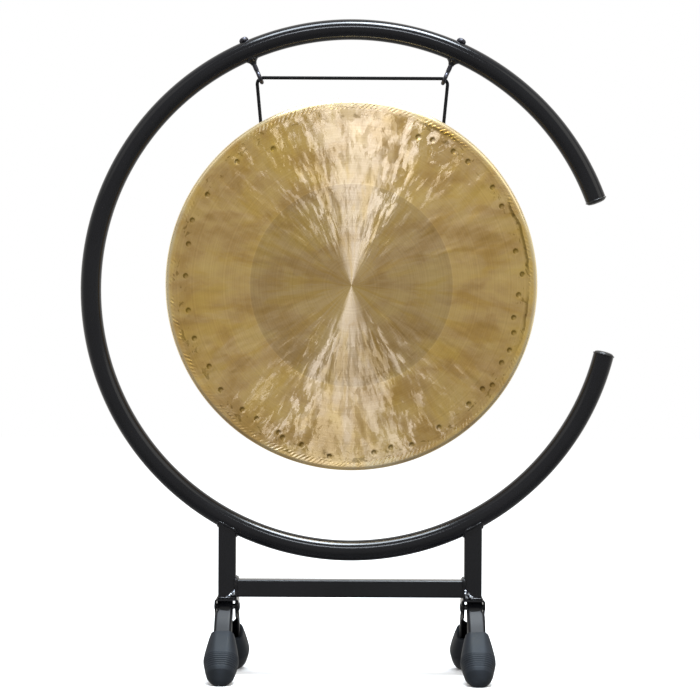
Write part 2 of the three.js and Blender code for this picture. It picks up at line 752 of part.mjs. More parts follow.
const sides = [['left', -1], ['right', 1]];
const stand = new THREE.Group();
stand.add(
  makeHoop(),
  makePlug('end_plug_upper', openingTopAngle, -1),
  makePlug('end_plug_lower', openingBottomAngle, 1),
  makeCrossbar(),
  makeCordSpan(),
  makeGongGroup(),
);
for (const [place, side] of sides) {
  stand.add(
    makePost(`post_${place}`, side),
    makeBracket(`leg_bracket_${place}`, side),
    makeRivet(`pivot_rivet_${place}`, side),
    makeLegGroup(`front_${place}`, side, false),
    makeLegGroup(`rear_${place}`, side, true),
    makeBoltGroup(place, side),
    makeCordDrop(place, side),
    makeKnot(place, side),
  );
}

// The origin is on the floor under the middle of the whole outline
const outlineBox = new THREE.Box3().setFromObject(stand, true);
stand.position.x = -(outlineBox.min.x + outlineBox.max.x) / 2;
stand.updateMatrixWorld(true);

export default stand;
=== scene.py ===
# Gong stand: hoop, posts, folding legs, and the gong on its cord.
# Lengths in this file are millimetres until makePiece turns them to metres.

import math

import bpy
import numpy as np
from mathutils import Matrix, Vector


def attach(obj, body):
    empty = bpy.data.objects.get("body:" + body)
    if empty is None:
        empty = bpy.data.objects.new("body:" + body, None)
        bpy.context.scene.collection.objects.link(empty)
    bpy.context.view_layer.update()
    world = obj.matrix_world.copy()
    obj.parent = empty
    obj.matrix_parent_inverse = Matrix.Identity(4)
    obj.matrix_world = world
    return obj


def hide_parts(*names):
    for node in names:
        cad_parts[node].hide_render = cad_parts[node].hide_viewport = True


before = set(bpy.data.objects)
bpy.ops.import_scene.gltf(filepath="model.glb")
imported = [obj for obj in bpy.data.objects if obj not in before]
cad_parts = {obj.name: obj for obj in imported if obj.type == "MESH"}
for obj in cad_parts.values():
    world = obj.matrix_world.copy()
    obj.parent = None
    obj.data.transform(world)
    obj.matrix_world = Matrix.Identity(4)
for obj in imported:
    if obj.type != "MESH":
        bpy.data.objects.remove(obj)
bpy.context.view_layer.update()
mm = 0.001
scene = bpy.context.scene
middleX = 3.96  # the hoop and the posts stand about this x: the hoop's open side shifts the whole's middle
print("frame loaded:", len(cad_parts), "nodes")

camera = {"distance": 2250, "across": 2.8, "height": 353, "mmPerPixel": 1.08, "roll": 0.28, "frame": 700}
cameraData = bpy.data.cameras.new("camera")
cameraData.sensor_width = 36
cameraData.lens = camera["distance"] / camera["mmPerPixel"] * cameraData.sensor_width / camera["frame"]
cameraObject = bpy.data.objects.new("camera", cameraData)
cameraObject.location = (camera["across"] * mm, -camera["distance"] * mm, camera["height"] * mm)
cameraObject.rotation_euler = (math.pi / 2, -math.radians(camera["roll"]), 0)
scene.collection.objects.link(cameraObject)
scene.camera = cameraObject
scene.view_settings.view_transform = "Standard"


# Mesh helpers

def around(count):
    # The angles of evenly spaced points on a circle.
    return np.arange(count) / count * 2 * np.pi


def circle(count):
    angle = around(count)
    return np.stack([np.cos(angle), np.sin(angle)], 1)


def shell(points, closeRows=False, closeColumns=True):
    # A grid of points (rows, columns, xyz) as quads, with a fan to the middle over each open end.
    # The UV map runs 0..1 along the rows and 0..1 along the columns.
    rows, columns = points.shape[:2]
    rowCount = rows if closeRows else rows - 1
    columnCount = columns if closeColumns else columns - 1
    i, j = np.meshgrid(np.arange(rowCount), np.arange(columnCount), indexing="ij")
    i, j = i.ravel(), j.ravel()
    nextI, nextJ = (i + 1) % rows, (j + 1) % columns
    quads = np.stack([i * columns + j, i * columns + nextJ, nextI * columns + nextJ, nextI * columns + j], 1)
    u, v = i / rowCount, j / columnCount
    u2, v2 = (i + 1) / rowCount, (j + 1) / columnCount
    quadUv = np.stack([np.stack(pair, 1) for pair in ((u, v), (u, v2), (u2, v2), (u2, v))], 1)
    vertices = points.reshape(-1, 3)
    triangles, triangleUv = np.zeros((0, 3), int), np.zeros((0, 3, 2))
    if not closeRows and closeColumns:
        k = np.arange(columns)
        for end, pair in ((0, (k + 1, k)), (rows - 1, (k, k + 1))):
            middle = np.full(columns, len(vertices))
            vertices = np.vstack([vertices, points[end].mean(0)])
            fan = [middle] + [end * columns + corner % columns for corner in pair]
            triangles = np.vstack([triangles, np.stack(fan, 1)])
            edge = np.full(columns, float(end > 0))
            uvs = [np.stack([edge, run / columns], 1) for run in (k + 0.5,) + pair]
            triangleUv = np.vstack([triangleUv, np.stack(uvs, 1)])
    if closeRows or closeColumns:
        # a shell whose enclosed volume comes out below zero is inside out, so its faces are turned over
        halves = np.vstack([quads[:, [0, 1, 2]], quads[:, [0, 2, 3]], triangles])
        a, b, c = (vertices[halves[:, corner]] for corner in range(3))
        if np.einsum("ij,ij->i", a - vertices.mean(0), np.cross(b - a, c - a)).sum() < 0:
            quads, quadUv = quads[:, ::-1], quadUv[:, ::-1]
            triangles, triangleUv = triangles[:, ::-1], triangleUv[:, ::-1]
    return {"vertices": vertices, "quads": quads, "triangles": triangles,
            "quadUv": quadUv, "triangleUv": triangleUv}


def makePiece(name, shells, material, body, replaced, sharp=38):
    # One mesh object of several shells; faces that meet at more than the sharp angle keep a hard edge.
    offsets = np.cumsum([0] + [len(s["vertices"]) for s in shells])
    vertices = np.vstack([s["vertices"] for s in shells]) * mm
    quads = np.vstack([s["quads"] + o for s, o in zip(shells, offsets)])
    triangles = np.vstack([s["triangles"] + o for s, o in zip(shells, offsets)])
    uvs = np.concatenate([s[key].reshape(-1) for key in ("quadUv", "triangleUv") for s in shells])
    mesh = bpy.data.meshes.new(name)
    mesh.vertices.add(len(vertices))
    mesh.vertices.foreach_set("co", vertices.astype(np.float32).ravel())
    mesh.loops.add(quads.size + triangles.size)
    corners = np.concatenate([quads.ravel(), triangles.ravel()])
    mesh.loops.foreach_set("vertex_index", corners.astype(np.int32))
    mesh.polygons.add(len(quads) + len(triangles))
    starts = np.concatenate([np.arange(len(quads)) * 4, quads.size + np.arange(len(triangles)) * 3])
    mesh.polygons.foreach_set("loop_start", starts.astype(np.int32))
    mesh.polygons.foreach_set("use_smooth", np.ones(len(starts), bool))
    mesh.uv_layers.new(name="surface").data.foreach_set("uv", uvs.astype(np.float32))
    mesh.update(calc_edges=True)
    mesh.validate()
    mesh.set_sharp_from_angle(angle=math.radians(sharp))
    mesh.materials.append(material)
    piece = bpy.data.objects.new(name, mesh)
    scene.collection.objects.link(piece)
    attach(piece, body)
    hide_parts(*replaced)
    return piece


def unit(vectors):
    return vectors / np.linalg.norm(vectors, axis=-1, keepdims=True)


def arc(centre, radius, startAngle, endAngle, steps):
    angle = np.radians(np.linspace(startAngle, endAngle, steps + 1))
    return np.stack([centre[0] + radius * np.cos(angle), centre[1] + radius * np.sin(angle)], 1)


def roundedSquare(size, corner, cornerSteps, sideSteps):
    # Corner arcs joined by straight sides, all with the same count of points whatever the size.
    inset = size / 2 - corner
    corners = [arc((inset * x, inset * y), corner, start, start + 90, cornerSteps)
               for x, y, start in ((1, 1, 0), (-1, 1, 90), (-1, -1, 180), (1, -1, 270))]
    share = np.arange(1, sideSteps)[:, None] / sideSteps
    straights = [this[-1] + (following[0] - this[-1]) * share
                 for this, following in zip(corners, corners[1:] + corners[:1])]
    return np.vstack([points for pair in zip(corners, straights) for points in pair])


def densify(outline, count):
    # The same closed outline with evenly spaced points.
    closed = np.vstack([outline, outline[:1]])
    run = np.concatenate([[0], np.cumsum(np.linalg.norm(np.diff(closed, axis=0), axis=1))])
    want = np.linspace(0, run[-1], count, endpoint=False)
    return np.stack([np.interp(want, run, closed[:, k]) for k in range(closed.shape[1])], 1)


def carry(section, path, sideways, closed=False, grow=None):
    # A flat section carried along a path: sideways is square to the path at every point,
    # and the section's second direction is square to both. grow scales the section row by row.
    path = np.asarray(path, float)
    along = np.roll(path, -1, 0) - np.roll(path, 1, 0) if closed else np.gradient(path, axis=0)
    along = unit(along)
    sideways = np.broadcast_to(np.asarray(sideways, float), path.shape)
    sideways = unit(sideways - along * np.einsum("ij,ij->i", sideways, along)[:, None])
    third = np.cross(along, sideways)
    if section.ndim == 2:
        section = np.broadcast_to(section, (len(path),) + section.shape)
    if grow is not None:
        section = section * np.asarray(grow)[:, None, None]
    return path[:, None] + section[..., :1] * sideways[:, None] + section[..., 1:] * third[:, None]


def lathe(profile, origin, axis, columns=48, start=(0, -1, 0)):
    # A profile of (distance along the axis, radius) turned about the axis.
    axis = unit(np.asarray(axis, float))
    first = np.asarray(start, float)
    first = unit(first - axis * first.dot(axis))
    second = np.cross(axis, first)
    ring = circle(columns)
    profile = np.asarray(profile, float)
    spokes = ring[:, :1] * first + ring[:, 1:] * second
    return np.asarray(origin, float) + profile[:, None, :1] * axis + profile[:, None, 1:] * spokes


def smooth(value, low, high):
    share = np.clip((value - low) / (high - low), 0, 1)
    return share * share * (3 - 2 * share)


def signedPower(value, power):
    return np.sign(value) * np.abs(value) ** power


# Material helpers

def hexColour(text):
    # sRGB hex to linear.
    values = [int(text[i:i + 2], 16) / 255 for i in (1, 3, 5)]
    return tuple(v / 12.92 if v <= 0.04045 else ((v + 0.055) / 1.055) ** 2.4 for v in values) + (1.0,)


def addNode(tree, kind, inputs=None, **settings):
    node = tree.nodes.new(kind)
    for name, value in settings.items():
        setattr(node, name, value)
    for name, value in (inputs or {}).items():
        if isinstance(value, bpy.types.NodeSocket):
            tree.links.new(value, node.inputs[name])
        else:
            node.inputs[name].default_value = value
    return node


def ramp(tree, value, low, high, bottom, top, curve="SMOOTHSTEP"):
    # As value goes from low to high, the result goes from bottom to top.
    inputs = {"Value": value, "From Min": low, "From Max": high, "To Min": bottom, "To Max": top}
    return addNode(tree, "ShaderNodeMapRange", inputs, interpolation_type=curve).outputs["Result"]


def mixColours(tree, factor, first, second):
    # Each colour is a hex text or a socket.
    first, second = (hexColour(colour) if isinstance(colour, str) else colour for colour in (first, second))
    inputs = {"Factor": factor, "A": first, "B": second}
    return addNode(tree, "ShaderNodeMix", inputs, data_type="RGBA").outputs["Result"]


def rampColours(tree, value, stops):
    # Stops are pairs of position and hex colour, in order, the last pair the end of the ramp.
    node = addNode(tree, "ShaderNodeValToRGB", {"Fac": value})
    elements = node.color_ramp.elements
    for element, (position, colour) in ((elements[1], stops[-1]), (elements[0], stops[0])):
        element.position, element.color = position, hexColour(colour)
    for position, colour in stops[1:-1]:
        elements.new(position).color = hexColour(colour)
    return node.outputs["Color"]


def grainNoise(tree, size, detail):
    # Noise in the object's own space with its grain size in millimetres.
    place = addNode(tree, "ShaderNodeTexCoord").outputs["Object"]
    inputs = {"Vector": place, "Scale": 1 / (size * mm), "Detail": detail}
    return addNode(tree, "ShaderNodeTexNoise", inputs).outputs["Fac"]


def newMaterial(name, settings):
    material = bpy.data.materials.new(name)
    material.use_nodes = True
    shader = material.node_tree.nodes["Principled BSDF"]
    for key, value in settings.items():
        shader.inputs[key].default_value = value
    return material, material.node_tree, shader


def finishMaterial(made, colour, roughness=None, bump=None):
    # Links what a material's function has worked out. bump is the height socket, its strength and its depth.
    material, tree, shader = made
    tree.links.new(colour, shader.inputs["Base Color"])
    if roughness is not None:
        tree.links.new(roughness, shader.inputs["Roughness"])
    if bump is not None:
        height, strength, depth = bump
        inputs = {"Height": height, "Strength": strength, "Distance": depth * mm}
        tree.links.new(addNode(tree, "ShaderNodeBump", inputs).outputs["Normal"], shader.inputs["Normal"])
    return material


# Black powder coat over steel: a dark sealed skin with sharp highlights on the frame, a duller, thinner one
# on the legs, and a faint orange peel on both.
def powderCoat(name, roughness, gloss):
    made = newMaterial(name, {"Roughness": roughness, "IOR": 1.5, "Specular IOR Level": gloss})
    tree = made[1]
    colour = rampColours(tree, grainNoise(tree, 70, 3.0), ((0.3, "#08080a"), (0.7, "#0c0c0e")))
    return finishMaterial(made, colour, bump=(grainNoise(tree, 2.4, 1.0), 0.02, 0.04))


# Moulded black polyethylene: waxy, a little softer than the paint.
def plugPlastic():
    made = newMaterial("mouldedPolyethylene", {"Roughness": 0.34, "IOR": 1.5})
    tree = made[1]
    grain = grainNoise(tree, 1.1, 2.0)
    return finishMaterial(made, mixColours(tree, grain, "#0c0c0d", "#121213"), bump=(grain, 0.15, 0.2))


# Moulded rubber: blue-grey black with a soft sheen, fine grain and a dusty bloom.
def bootRubber():
    made = newMaterial("mouldedRubber", {"IOR": 1.52, "Specular IOR Level": 0.23,
                                         "Specular Tint": (0.82, 0.92, 1.0, 1)})
    tree = made[1]
    bloom = grainNoise(tree, 16, 4.0)
    colour = rampColours(tree, bloom, ((0.35, "#0e0f12"), (0.7, "#15171c")))
    return finishMaterial(made, colour, ramp(tree, bloom, 0, 1, 0.5, 0.62, "LINEAR"),
                          (grainNoise(tree, 0.6, 2.0), 0.2, 0.2))


# Black nickel plate on steel: dark mirror with faint handling marks.
def blackNickel():
    made = newMaterial("blackNickelPlate", {"Metallic": 1.0})
    tree = made[1]
    marks = grainNoise(tree, 3.8, 4.0)
    return finishMaterial(made, mixColours(tree, marks, "#3e3e44", "#505057"),
                          ramp(tree, marks, 0, 1, 0.24, 0.42, "LINEAR"))


# Blackened rivet steel: grey with soft cold-heading marks, darker where the oil has set.
def rivetSteel():
    made = newMaterial("blackenedSteel", {"Metallic": 1.0, "Roughness": 0.3})
    return finishMaterial(made, mixColours(made[1], grainNoise(made[1], 3, 5.0), "#3a3b3e", "#6c6e72"))


# Braided polyester: matt black yarn, a little greyer where its fibres fluff.
def braidedCord():
    made = newMaterial("braidedPolyester", {"Roughness": 0.75, "IOR": 1.5, "Specular IOR Level": 0.12})
    return finishMaterial(made, mixColours(made[1], grainNoise(made[1], 0.7, 2.0), "#050506", "#0c0c0e"))


# Weld metal where the powder coat has drawn thin: bright lumpy steel with islands of black.
def weldMetal():
    made = newMaterial("weldSteel", {"Metallic": 1.0, "Roughness": 0.26})
    islands = grainNoise(made[1], 3.3, 3.0)
    return finishMaterial(made, rampColours(made[1], islands, ((0.42, "#1b1c1f"), (0.52, "#c3cad4"))),
                          bump=(islands, 0.5, 0.6))


paint = powderCoat("powderCoatGloss", 0.15, 0.3)
satin = powderCoat("powderCoatSatin", 0.42, 0.16)
rawWeld = weldMetal()
plastic = plugPlastic()
rubber = bootRubber()
nickel = blackNickel()
rivetMetal = rivetSteel()
yarn = braidedCord()
print("materials made")

# Hoop: a round tube bent to a ring with its right side open

hoop = {"radius": 281.3, "height": 417.8, "tube": 11.1, "wall": 1.5, "openTop": 20.6, "openBottom": -14.3,
        "rows": 420, "columns": 44}
hoopMiddle = np.array([middleX, 0, hoop["height"]])


def onHoop(radius, degrees):
    angle = np.radians(degrees)
    return hoopMiddle + np.stack([radius * np.cos(angle), 0 * angle, radius * np.sin(angle)], -1)


def makeHoop():
    # Circles of the tube's radius round the ring's middle line, out along the skin and back along the bore.
    angles = np.linspace(hoop["openTop"], 360 + hoop["openBottom"], hoop["rows"])
    line = onHoop(hoop["radius"], angles)
    ring = circle(hoop["columns"])
    skin = carry(ring * hoop["tube"], line, (0, 1, 0))
    bore = carry(ring * (hoop["tube"] - hoop["wall"]), line, (0, 1, 0))[::-1]
    makePiece("hoopTube", [shell(np.vstack([skin, bore]), closeRows=True)], paint, "stand",
              ["hoop_tube"])


makeHoop()

# End plugs: stem in the tube, thin flange, low dome

plug = {"stem": 9.2, "stemLength": 12, "chamfer": 1.2, "flange": 11.7, "flangeThickness": 1.4, "gap": 0.3,
        "edge": 0.45, "dome": 2.8, "domeInset": 1.2, "step": 0.35}


def makePlug(name, node, degrees, outward):
    # Stem and flange, then a dome that is a quarter of a superellipse: height sin^0.9, radius cos^0.8.
    angle = math.radians(degrees)
    axis = outward * np.array([-math.sin(angle), 0, math.cos(angle)])
    top = plug["gap"] + plug["flangeThickness"]
    edge, flange, stemEnd = plug["edge"], plug["flange"], -plug["stemLength"]
    dome = flange - plug["domeInset"]
    lift = np.linspace(0, np.pi / 2, 12)
    profile = np.vstack([
        [[stemEnd, plug["stem"] - plug["chamfer"]], [stemEnd + plug["chamfer"], plug["stem"]]],
        [[plug["gap"], plug["stem"]]],
        arc((plug["gap"] + edge, flange - edge), edge, 180, 90, 5),
        arc((top - edge, flange - edge), edge, 90, 0, 5),
        [[top, dome + plug["step"]]],
        np.stack([top + plug["dome"] * np.sin(lift) ** 0.9, dome * np.cos(lift) ** 0.8], 1)[:-1],
    ])
    makePiece(name, [shell(lathe(profile, onHoop(hoop["radius"], degrees), axis))], plastic, "stand",
              [node], sharp=30)


makePlug("endPlugUpper", "end_plug_upper", hoop["openTop"], -1)
makePlug("endPlugLower", "end_plug_lower", hoop["openBottom"], 1)
print("hoop and plugs made")

# Posts and crossbar: square tube

frameTube = {"spacing": 265, "size": 19, "wall": 1.5, "corner": 2.2, "foot": 85.3, "barLift": 1.2,
             "inset": 0.35, "cornerSteps": 6, "postSteps": 7, "barSteps": 3}
barHeight = frameTube["foot"] + frameTube["barLift"] + frameTube["size"] / 2
sides = (("left", "Left", -1), ("right", "Right", 1))


def postX(side):
    return middleX + side * frameTube["spacing"] / 2


def tubeUnderside(x, y):
    # Height of the hoop's lower skin over a point of the floor: the ring grown by the tube's half chord.
    chord = np.sqrt(np.maximum(hoop["tube"] ** 2 - y ** 2, 0))
    return hoop["height"] - np.sqrt((hoop["radius"] + chord) ** 2 - (x - middleX) ** 2)


def tubeOutline(sideSteps, depth=0):
    # The square tube's outline, depth under its skin.
    return roundedSquare(frameTube["size"] - 2 * depth, frameTube["corner"] - depth, frameTube["cornerSteps"],
                         sideSteps)


def makePost(place, title, side):
    # A rounded square carried up from the foot to the skin of the hoop, and back down inside.
    rows = []
    for depth, shares in ((0, np.linspace(0, 1, 14)), (frameTube["wall"], np.linspace(1, 0, 8))):
        outline = tubeOutline(frameTube["postSteps"], depth) + [postX(side), 0]
        top = tubeUnderside(outline[:, 0], outline[:, 1]) + frameTube["inset"]
        heights = [frameTube["foot"] + (top - frameTube["foot"]) * share for share in shares]
        rows += [np.column_stack([outline, height]) for height in heights]
    makePiece(f"post{title}", [shell(np.array(rows), closeRows=True)], paint, "stand",
              [f"post_{place}"])


def makeCrossbar():
    half = (frameTube["spacing"] - frameTube["size"]) / 2
    rows = []
    for depth, xs in ((0, (-half, 0, half)), (frameTube["wall"], (half, 0, -half))):
        outline = tubeOutline(frameTube["barSteps"], depth)
        rows += [np.column_stack([np.full(len(outline), middleX + x), outline + [0, barHeight]]) for x in xs]
    makePiece("crossbar", [shell(np.array(rows), closeRows=True)], paint, "stand",
              ["crossbar"])


makeCrossbar()

# Weld beads: a ripple every couple of millimetres, uneven in height, painted with the frame

weld = {"radius": 1.25, "top": 1.1, "foot": 0.9, "bar": 1.3, "barSag": 0.35, "sink": 0.2, "rise": 0.3,
        "ripple": 2.4, "rippleHeight": 0.12, "uneven": 0.22, "points": 120, "puddle": 2.9, "flat": 0.55,
        "puddleBumps": 0.09}
# the puddle's five overlapping lumps: inward from the post's middle, up from its foot, share of the size
puddleLumps = ((1.2, 1.2, 0.75), (3.4, 1.8, 0.95), (5.6, 3.2, 1.1), (7.4, 5.4, 1.15), (8.6, 7.4, 0.8))
waves = np.random.default_rng(7)


def beadShell(path, radius, swell=1):
    # A round bead along a closed path, its radius rippled by a wave of the bead's length and two slow waves.
    step = np.linalg.norm(np.roll(path, -1, 0) - path, axis=1)
    run = np.cumsum(step) - step[0]
    total = step.sum()
    ripples = max(3, round(total / weld["ripple"]))
    phase = waves.uniform(0, 2 * np.pi, 3)
    turn = run / total * 2 * np.pi
    grow = 1 + weld["rippleHeight"] * np.abs(np.sin(turn * ripples / 2))
    grow += weld["uneven"] * (np.sin(turn * 3 + phase[0]) + np.sin(turn * 7 + phase[1])) / 2
    ring = circle(14) * radius * weld["radius"]
    return shell(carry(ring, path, path.mean(0) - path, closed=True, grow=grow * swell), closeRows=True)


def makeWelds(title, side):
    outline = densify(roundedSquare(frameTube["size"] + 2 * weld["sink"], frameTube["corner"],
                                    frameTube["cornerSteps"], frameTube["postSteps"]), weld["points"])
    skirt = outline + [postX(side), 0]
    topPath = np.column_stack([skirt, tubeUnderside(skirt[:, 0], skirt[:, 1]) - weld["sink"]])
    footPath = np.column_stack([skirt, np.full(len(outline), frameTube["foot"] + weld["rise"])])
    end = postX(side) - side * (frameTube["size"] / 2 + weld["rise"])
    barPath = np.column_stack([np.full(len(outline), end), outline + [0, barHeight]])
    high = (outline[:, 1] / (frameTube["size"] / 2)).clip(-1, 1)
    shells = [beadShell(topPath, weld["top"]), beadShell(footPath, weld["foot"]),
              beadShell(barPath, weld["bar"], 1 + weld["barSag"] * high)]
    makePiece(f"welds{title}", shells, paint, "stand", [], sharp=80)


def makePuddle(title, side):
    # Lumps at the post's front by its inner lower corner, each a ball with a wave over it, pressed flat.
    lumps = []
    lift = np.linspace(-np.pi / 2, np.pi / 2, 18)[1:-1]
    for index, (inward, up, size) in enumerate(puddleLumps):
        middle = np.array([postX(side) - side * inward, -frameTube["size"] / 2, frameTube["foot"] + up])
        profile = np.stack([np.sin(lift), np.cos(lift)], 1) * weld["puddle"] * size
        ball = lathe(profile, (0, 0, 0), (0, -1, 0), 36, (1, 0, 0))
        bumps = 1 + weld["puddleBumps"] * np.sin(ball @ np.array([1.9, 1.3, 2.3]) + index * 2)
        lumps.append(shell(middle + ball * bumps[..., None] * [1, weld["flat"], 1.05]))
    makePiece(f"weldPuddle{title}", lumps, rawWeld, "stand", [], sharp=80)


# Brackets: sheet bent to an upside-down U, with round ears

bracket = {"width": 26, "sheet": 2, "height": 17.4, "depth": 28, "bend": 3.2, "pivotDrop": 9.2, "cheek": 8.6,
           "taper": 5, "gap": 0.3, "edge": 0.45}
bracketTop = frameTube["foot"] - bracket["gap"]
pivotHeight = bracketTop - bracket["pivotDrop"]


def finishSheet(piece, thickness, edge):
    wall = piece.modifiers.new("thickness", "SOLIDIFY")
    wall.thickness = thickness * mm
    wall.offset = 0
    wall.use_even_offset = True
    rounding = piece.modifiers.new("edges", "BEVEL")
    rounding.width = edge * mm
    rounding.segments = 3
    rounding.limit_method = "ANGLE"
    rounding.angle_limit = math.radians(50)
    rounding.harden_normals = True


def makeBracket(place, title, side):
    # The sheet's middle line runs up one ear, over the top and down the other; across it, the depth
    # follows a half circle round the pivot on the ears and is full over the top.
    half = bracket["width"] / 2 - bracket["sheet"] / 2
    bend = bracket["bend"] - bracket["sheet"] / 2
    shoulder = -bracket["sheet"] / 2 - bend
    rise = -bracket["height"] + (shoulder + bracket["height"]) * (1 - np.cos(np.linspace(0, np.pi / 2, 16)))
    line = np.vstack([
        np.column_stack([np.full(len(rise), -half), rise])[:-1],
        arc((-half + bend, shoulder), bend, 180, 90, 8),
        arc((half - bend, shoulder), bend, 90, 0, 8),
        np.column_stack([np.full(len(rise), half), rise[::-1]])[1:],
    ])
    below = line[:, 1] + bracket["pivotDrop"]
    ear = np.sqrt(np.maximum(bracket["cheek"] ** 2 - np.minimum(below, 0) ** 2, 0.3))
    taper = bracket["cheek"] + (bracket["depth"] / 2 - bracket["cheek"]) * smooth(below, 0, bracket["taper"])
    width = np.where(below < 0, ear, taper)
    columns = np.sin(np.linspace(-np.pi / 2, np.pi / 2, 19))
    grid = np.zeros((len(line), len(columns), 3))
    grid[..., 0] = postX(side) + line[:, :1]
    grid[..., 1] = width[:, None] * columns
    grid[..., 2] = bracketTop + line[:, 1:]
    piece = makePiece(f"bracket{title}", [shell(grid, closeColumns=False)], paint, "stand",
                      [f"leg_bracket_{place}"])
    finishSheet(piece, bracket["sheet"], bracket["edge"])


rivet = {"radius": 3, "head": 4.6, "headHeight": 0.9}


def makeRivet(place, title, side):
    # Two low domes, height by sine and radius by cosine, with the shank between them.
    half = bracket["width"] / 2
    dome = np.linspace(0, np.pi / 2, 8)[:-1]
    rise = (rivet["headHeight"] + bracket["gap"]) * np.sin(dome)
    cap = np.stack([half + rise, rivet["head"] * np.cos(dome)], 1)
    profile = np.vstack([(cap * [-1, 1])[::-1], [[-half, rivet["radius"]], [half, rivet["radius"]]], cap])
    turned = lathe(profile, (postX(side), 0, pivotHeight), (1, 0, 0), 40)
    makePiece(f"pivotRivet{title}", [shell(turned)], rivetMetal, "stand",
              [f"pivot_rivet_{place}"], sharp=50)


# Legs: channels pressed from sheet, with two ears on the rivet

leg = {"width": 19, "sheet": 1.6, "offset": 3.3, "face": 8.1, "lip": 7.5, "topTilt": 36, "footTilt": 46,
       "bendStart": 12, "bendEnd": 40, "length": 60, "jog": 11, "jogHalf": 3, "faceTop": 8, "rearFaceTop": 12,
       "notch": 20, "notchWidth": 7.4, "slant": 1.3, "ear": 6.9, "earOut": 10.3, "earBlend": 6, "corner": 2.6,
       "edge": 0.4, "swell": 1.5}
legHalf = (leg["width"] - leg["sheet"]) / 2
earHalf = leg["earOut"] - leg["sheet"] / 2 - leg["offset"]  # from the leg's middle to its outer ear
faceOut = leg["face"] - leg["sheet"] / 2


def onLeg(along, out):
    # Straight, then an arc, then straight: depth and height from the pivot, for a leg that leans to -Y.
    along, out = np.broadcast_arrays(np.asarray(along, float), np.asarray(out, float))
    first, last = math.radians(leg["topTilt"]), math.radians(leg["footTilt"])
    bendLength = leg["bendEnd"] - leg["bendStart"]
    bendRadius = bendLength / (last - first)
    tilt = first + (last - first) * np.clip((along - leg["bendStart"]) / bendLength, 0, 1)
    start = np.minimum(along, leg["bendStart"])
    tail = np.maximum(along - leg["bendEnd"], 0)
    depth = -start * math.sin(first) - bendRadius * (math.cos(first) - np.cos(tilt)) - tail * np.sin(tilt)
    height = -start * math.cos(first) - bendRadius * (np.sin(tilt) - math.sin(first)) - tail * np.cos(tilt)
    return depth - out * np.cos(tilt), height + out * np.sin(tilt)


def placeLeg(across, along, out, side, isRear):
    # Across, along and out of a leg to the frame's axes; a rear leg is a front leg turned half round.
    depth, height = onLeg(along, out)
    turn = -1 if isRear else 1
    return np.stack(np.broadcast_arrays(postX(side) + turn * across, turn * depth, pivotHeight + height), -1)


def makeLeg(end, place, title, side, isRear):
    # Columns run up one side wall, round a corner, across the face and down the other side wall; rows run
    # down the leg. Above the face's top edge only the two side walls go on, as round ears about the rivet:
    # out = sqrt(ear^2 - along^2). The face swells by a half wave between its top edge and the boot. A rear
    # leg's top edge is notched by half an ellipse, a front one's slants.
    faceTop = leg["rearFaceTop"] if isRear else leg["faceTop"]
    overRivet = -leg["ear"] * np.cos(np.linspace(0, np.pi / 2, 10))
    earRows = np.concatenate([overRivet, np.linspace(0.8, faceTop, 8)])
    bodyShare = np.linspace(0, 1, 40)[1:]
    s = np.concatenate([earRows, faceTop + (leg["length"] - faceTop) * bodyShare])[:, None]
    fade = np.concatenate([np.zeros(len(earRows)), bodyShare])[:, None]
    isBody = (np.arange(len(s)) >= len(earRows) - 1)[:, None]
    reach = np.sqrt(np.maximum(leg["ear"] ** 2 - np.minimum(s, 0) ** 2, 0.02))
    opened = smooth(s, 0, leg["earBlend"])
    low = -(reach + (leg["lip"] - reach) * opened)
    high = reach + (faceOut - leg["corner"] - reach) * opened
    jogged = smooth(s, leg["jog"] - leg["jogHalf"], leg["jog"] + leg["jogHalf"])
    outerX = earHalf + (legHalf - earHalf) * jogged
    lean = side * leg["offset"]
    x0, x1 = (lean - legHalf + 0 * s, lean + outerX) if side > 0 else (lean - outerX, lean + legHalf + 0 * s)
    wall = np.linspace(0, 1, 11)
    bend = np.radians(np.linspace(0, 90, 7))[1:]
    acrossFace = np.linspace(0, 1, 19)[1:-1]
    corner = leg["corner"]
    curl = corner * (1 - np.cos(bend))
    across = np.hstack([x0 + 0 * wall, x0 + curl, x0 + corner + (x1 - x0 - 2 * corner) * acrossFace,
                        (x1 - curl)[:, ::-1], x1 + 0 * wall])
    cornerOut = faceOut - corner + corner * np.sin(bend) + 0 * s
    walls = low + (high - low) * wall
    swell = leg["swell"] * np.sin(np.pi * smooth(s, faceTop - 2, leg["length"] - 8) ** 0.8)
    swell = swell * smooth(s, faceTop - 6, faceTop)
    out = np.hstack([walls, cornerOut + swell, faceOut + swell + 0 * acrossFace, (cornerOut + swell)[:, ::-1],
                     walls[:, ::-1]])
    count = across.shape[1]
    edge = len(wall) + len(bend) - 1
    isFace = (np.arange(count) >= edge) & (np.arange(count) < count - edge)
    if isRear:
        dip = leg["notch"] * np.sqrt(np.clip(1 - ((across - lean) / leg["notchWidth"]) ** 2, 0, 1))
    else:
        dip = -side * (across - lean) / legHalf * leg["slant"]
    along = s + np.where(isFace & isBody, dip * (1 - fade), 0)
    sheet = shell(placeLeg(across, along, out, side, isRear), closeColumns=False)
    keep = np.ones((len(s) - 1, count - 1), bool)
    keep[:len(earRows) - 1, len(wall) - 1:count - len(wall)] = False
    sheet["quads"], sheet["quadUv"] = sheet["quads"][keep.ravel()], sheet["quadUv"][keep.ravel()]
    piece = makePiece(f"leg{end.title()}{title}", [sheet], satin, f"{end}_leg_{place}",
                      [f"leg_{end}_{place}"])
    finishSheet(piece, leg["sheet"], leg["edge"])


# Hoods: a front leg's face goes on over the ears and curls back towards the rivet

hood = {"gap": 0.35, "turn": 15, "lap": 2.5, "proud": 0.3, "narrower": 0.5, "half": 0.7, "bow": 0.12,
        "points": 60}


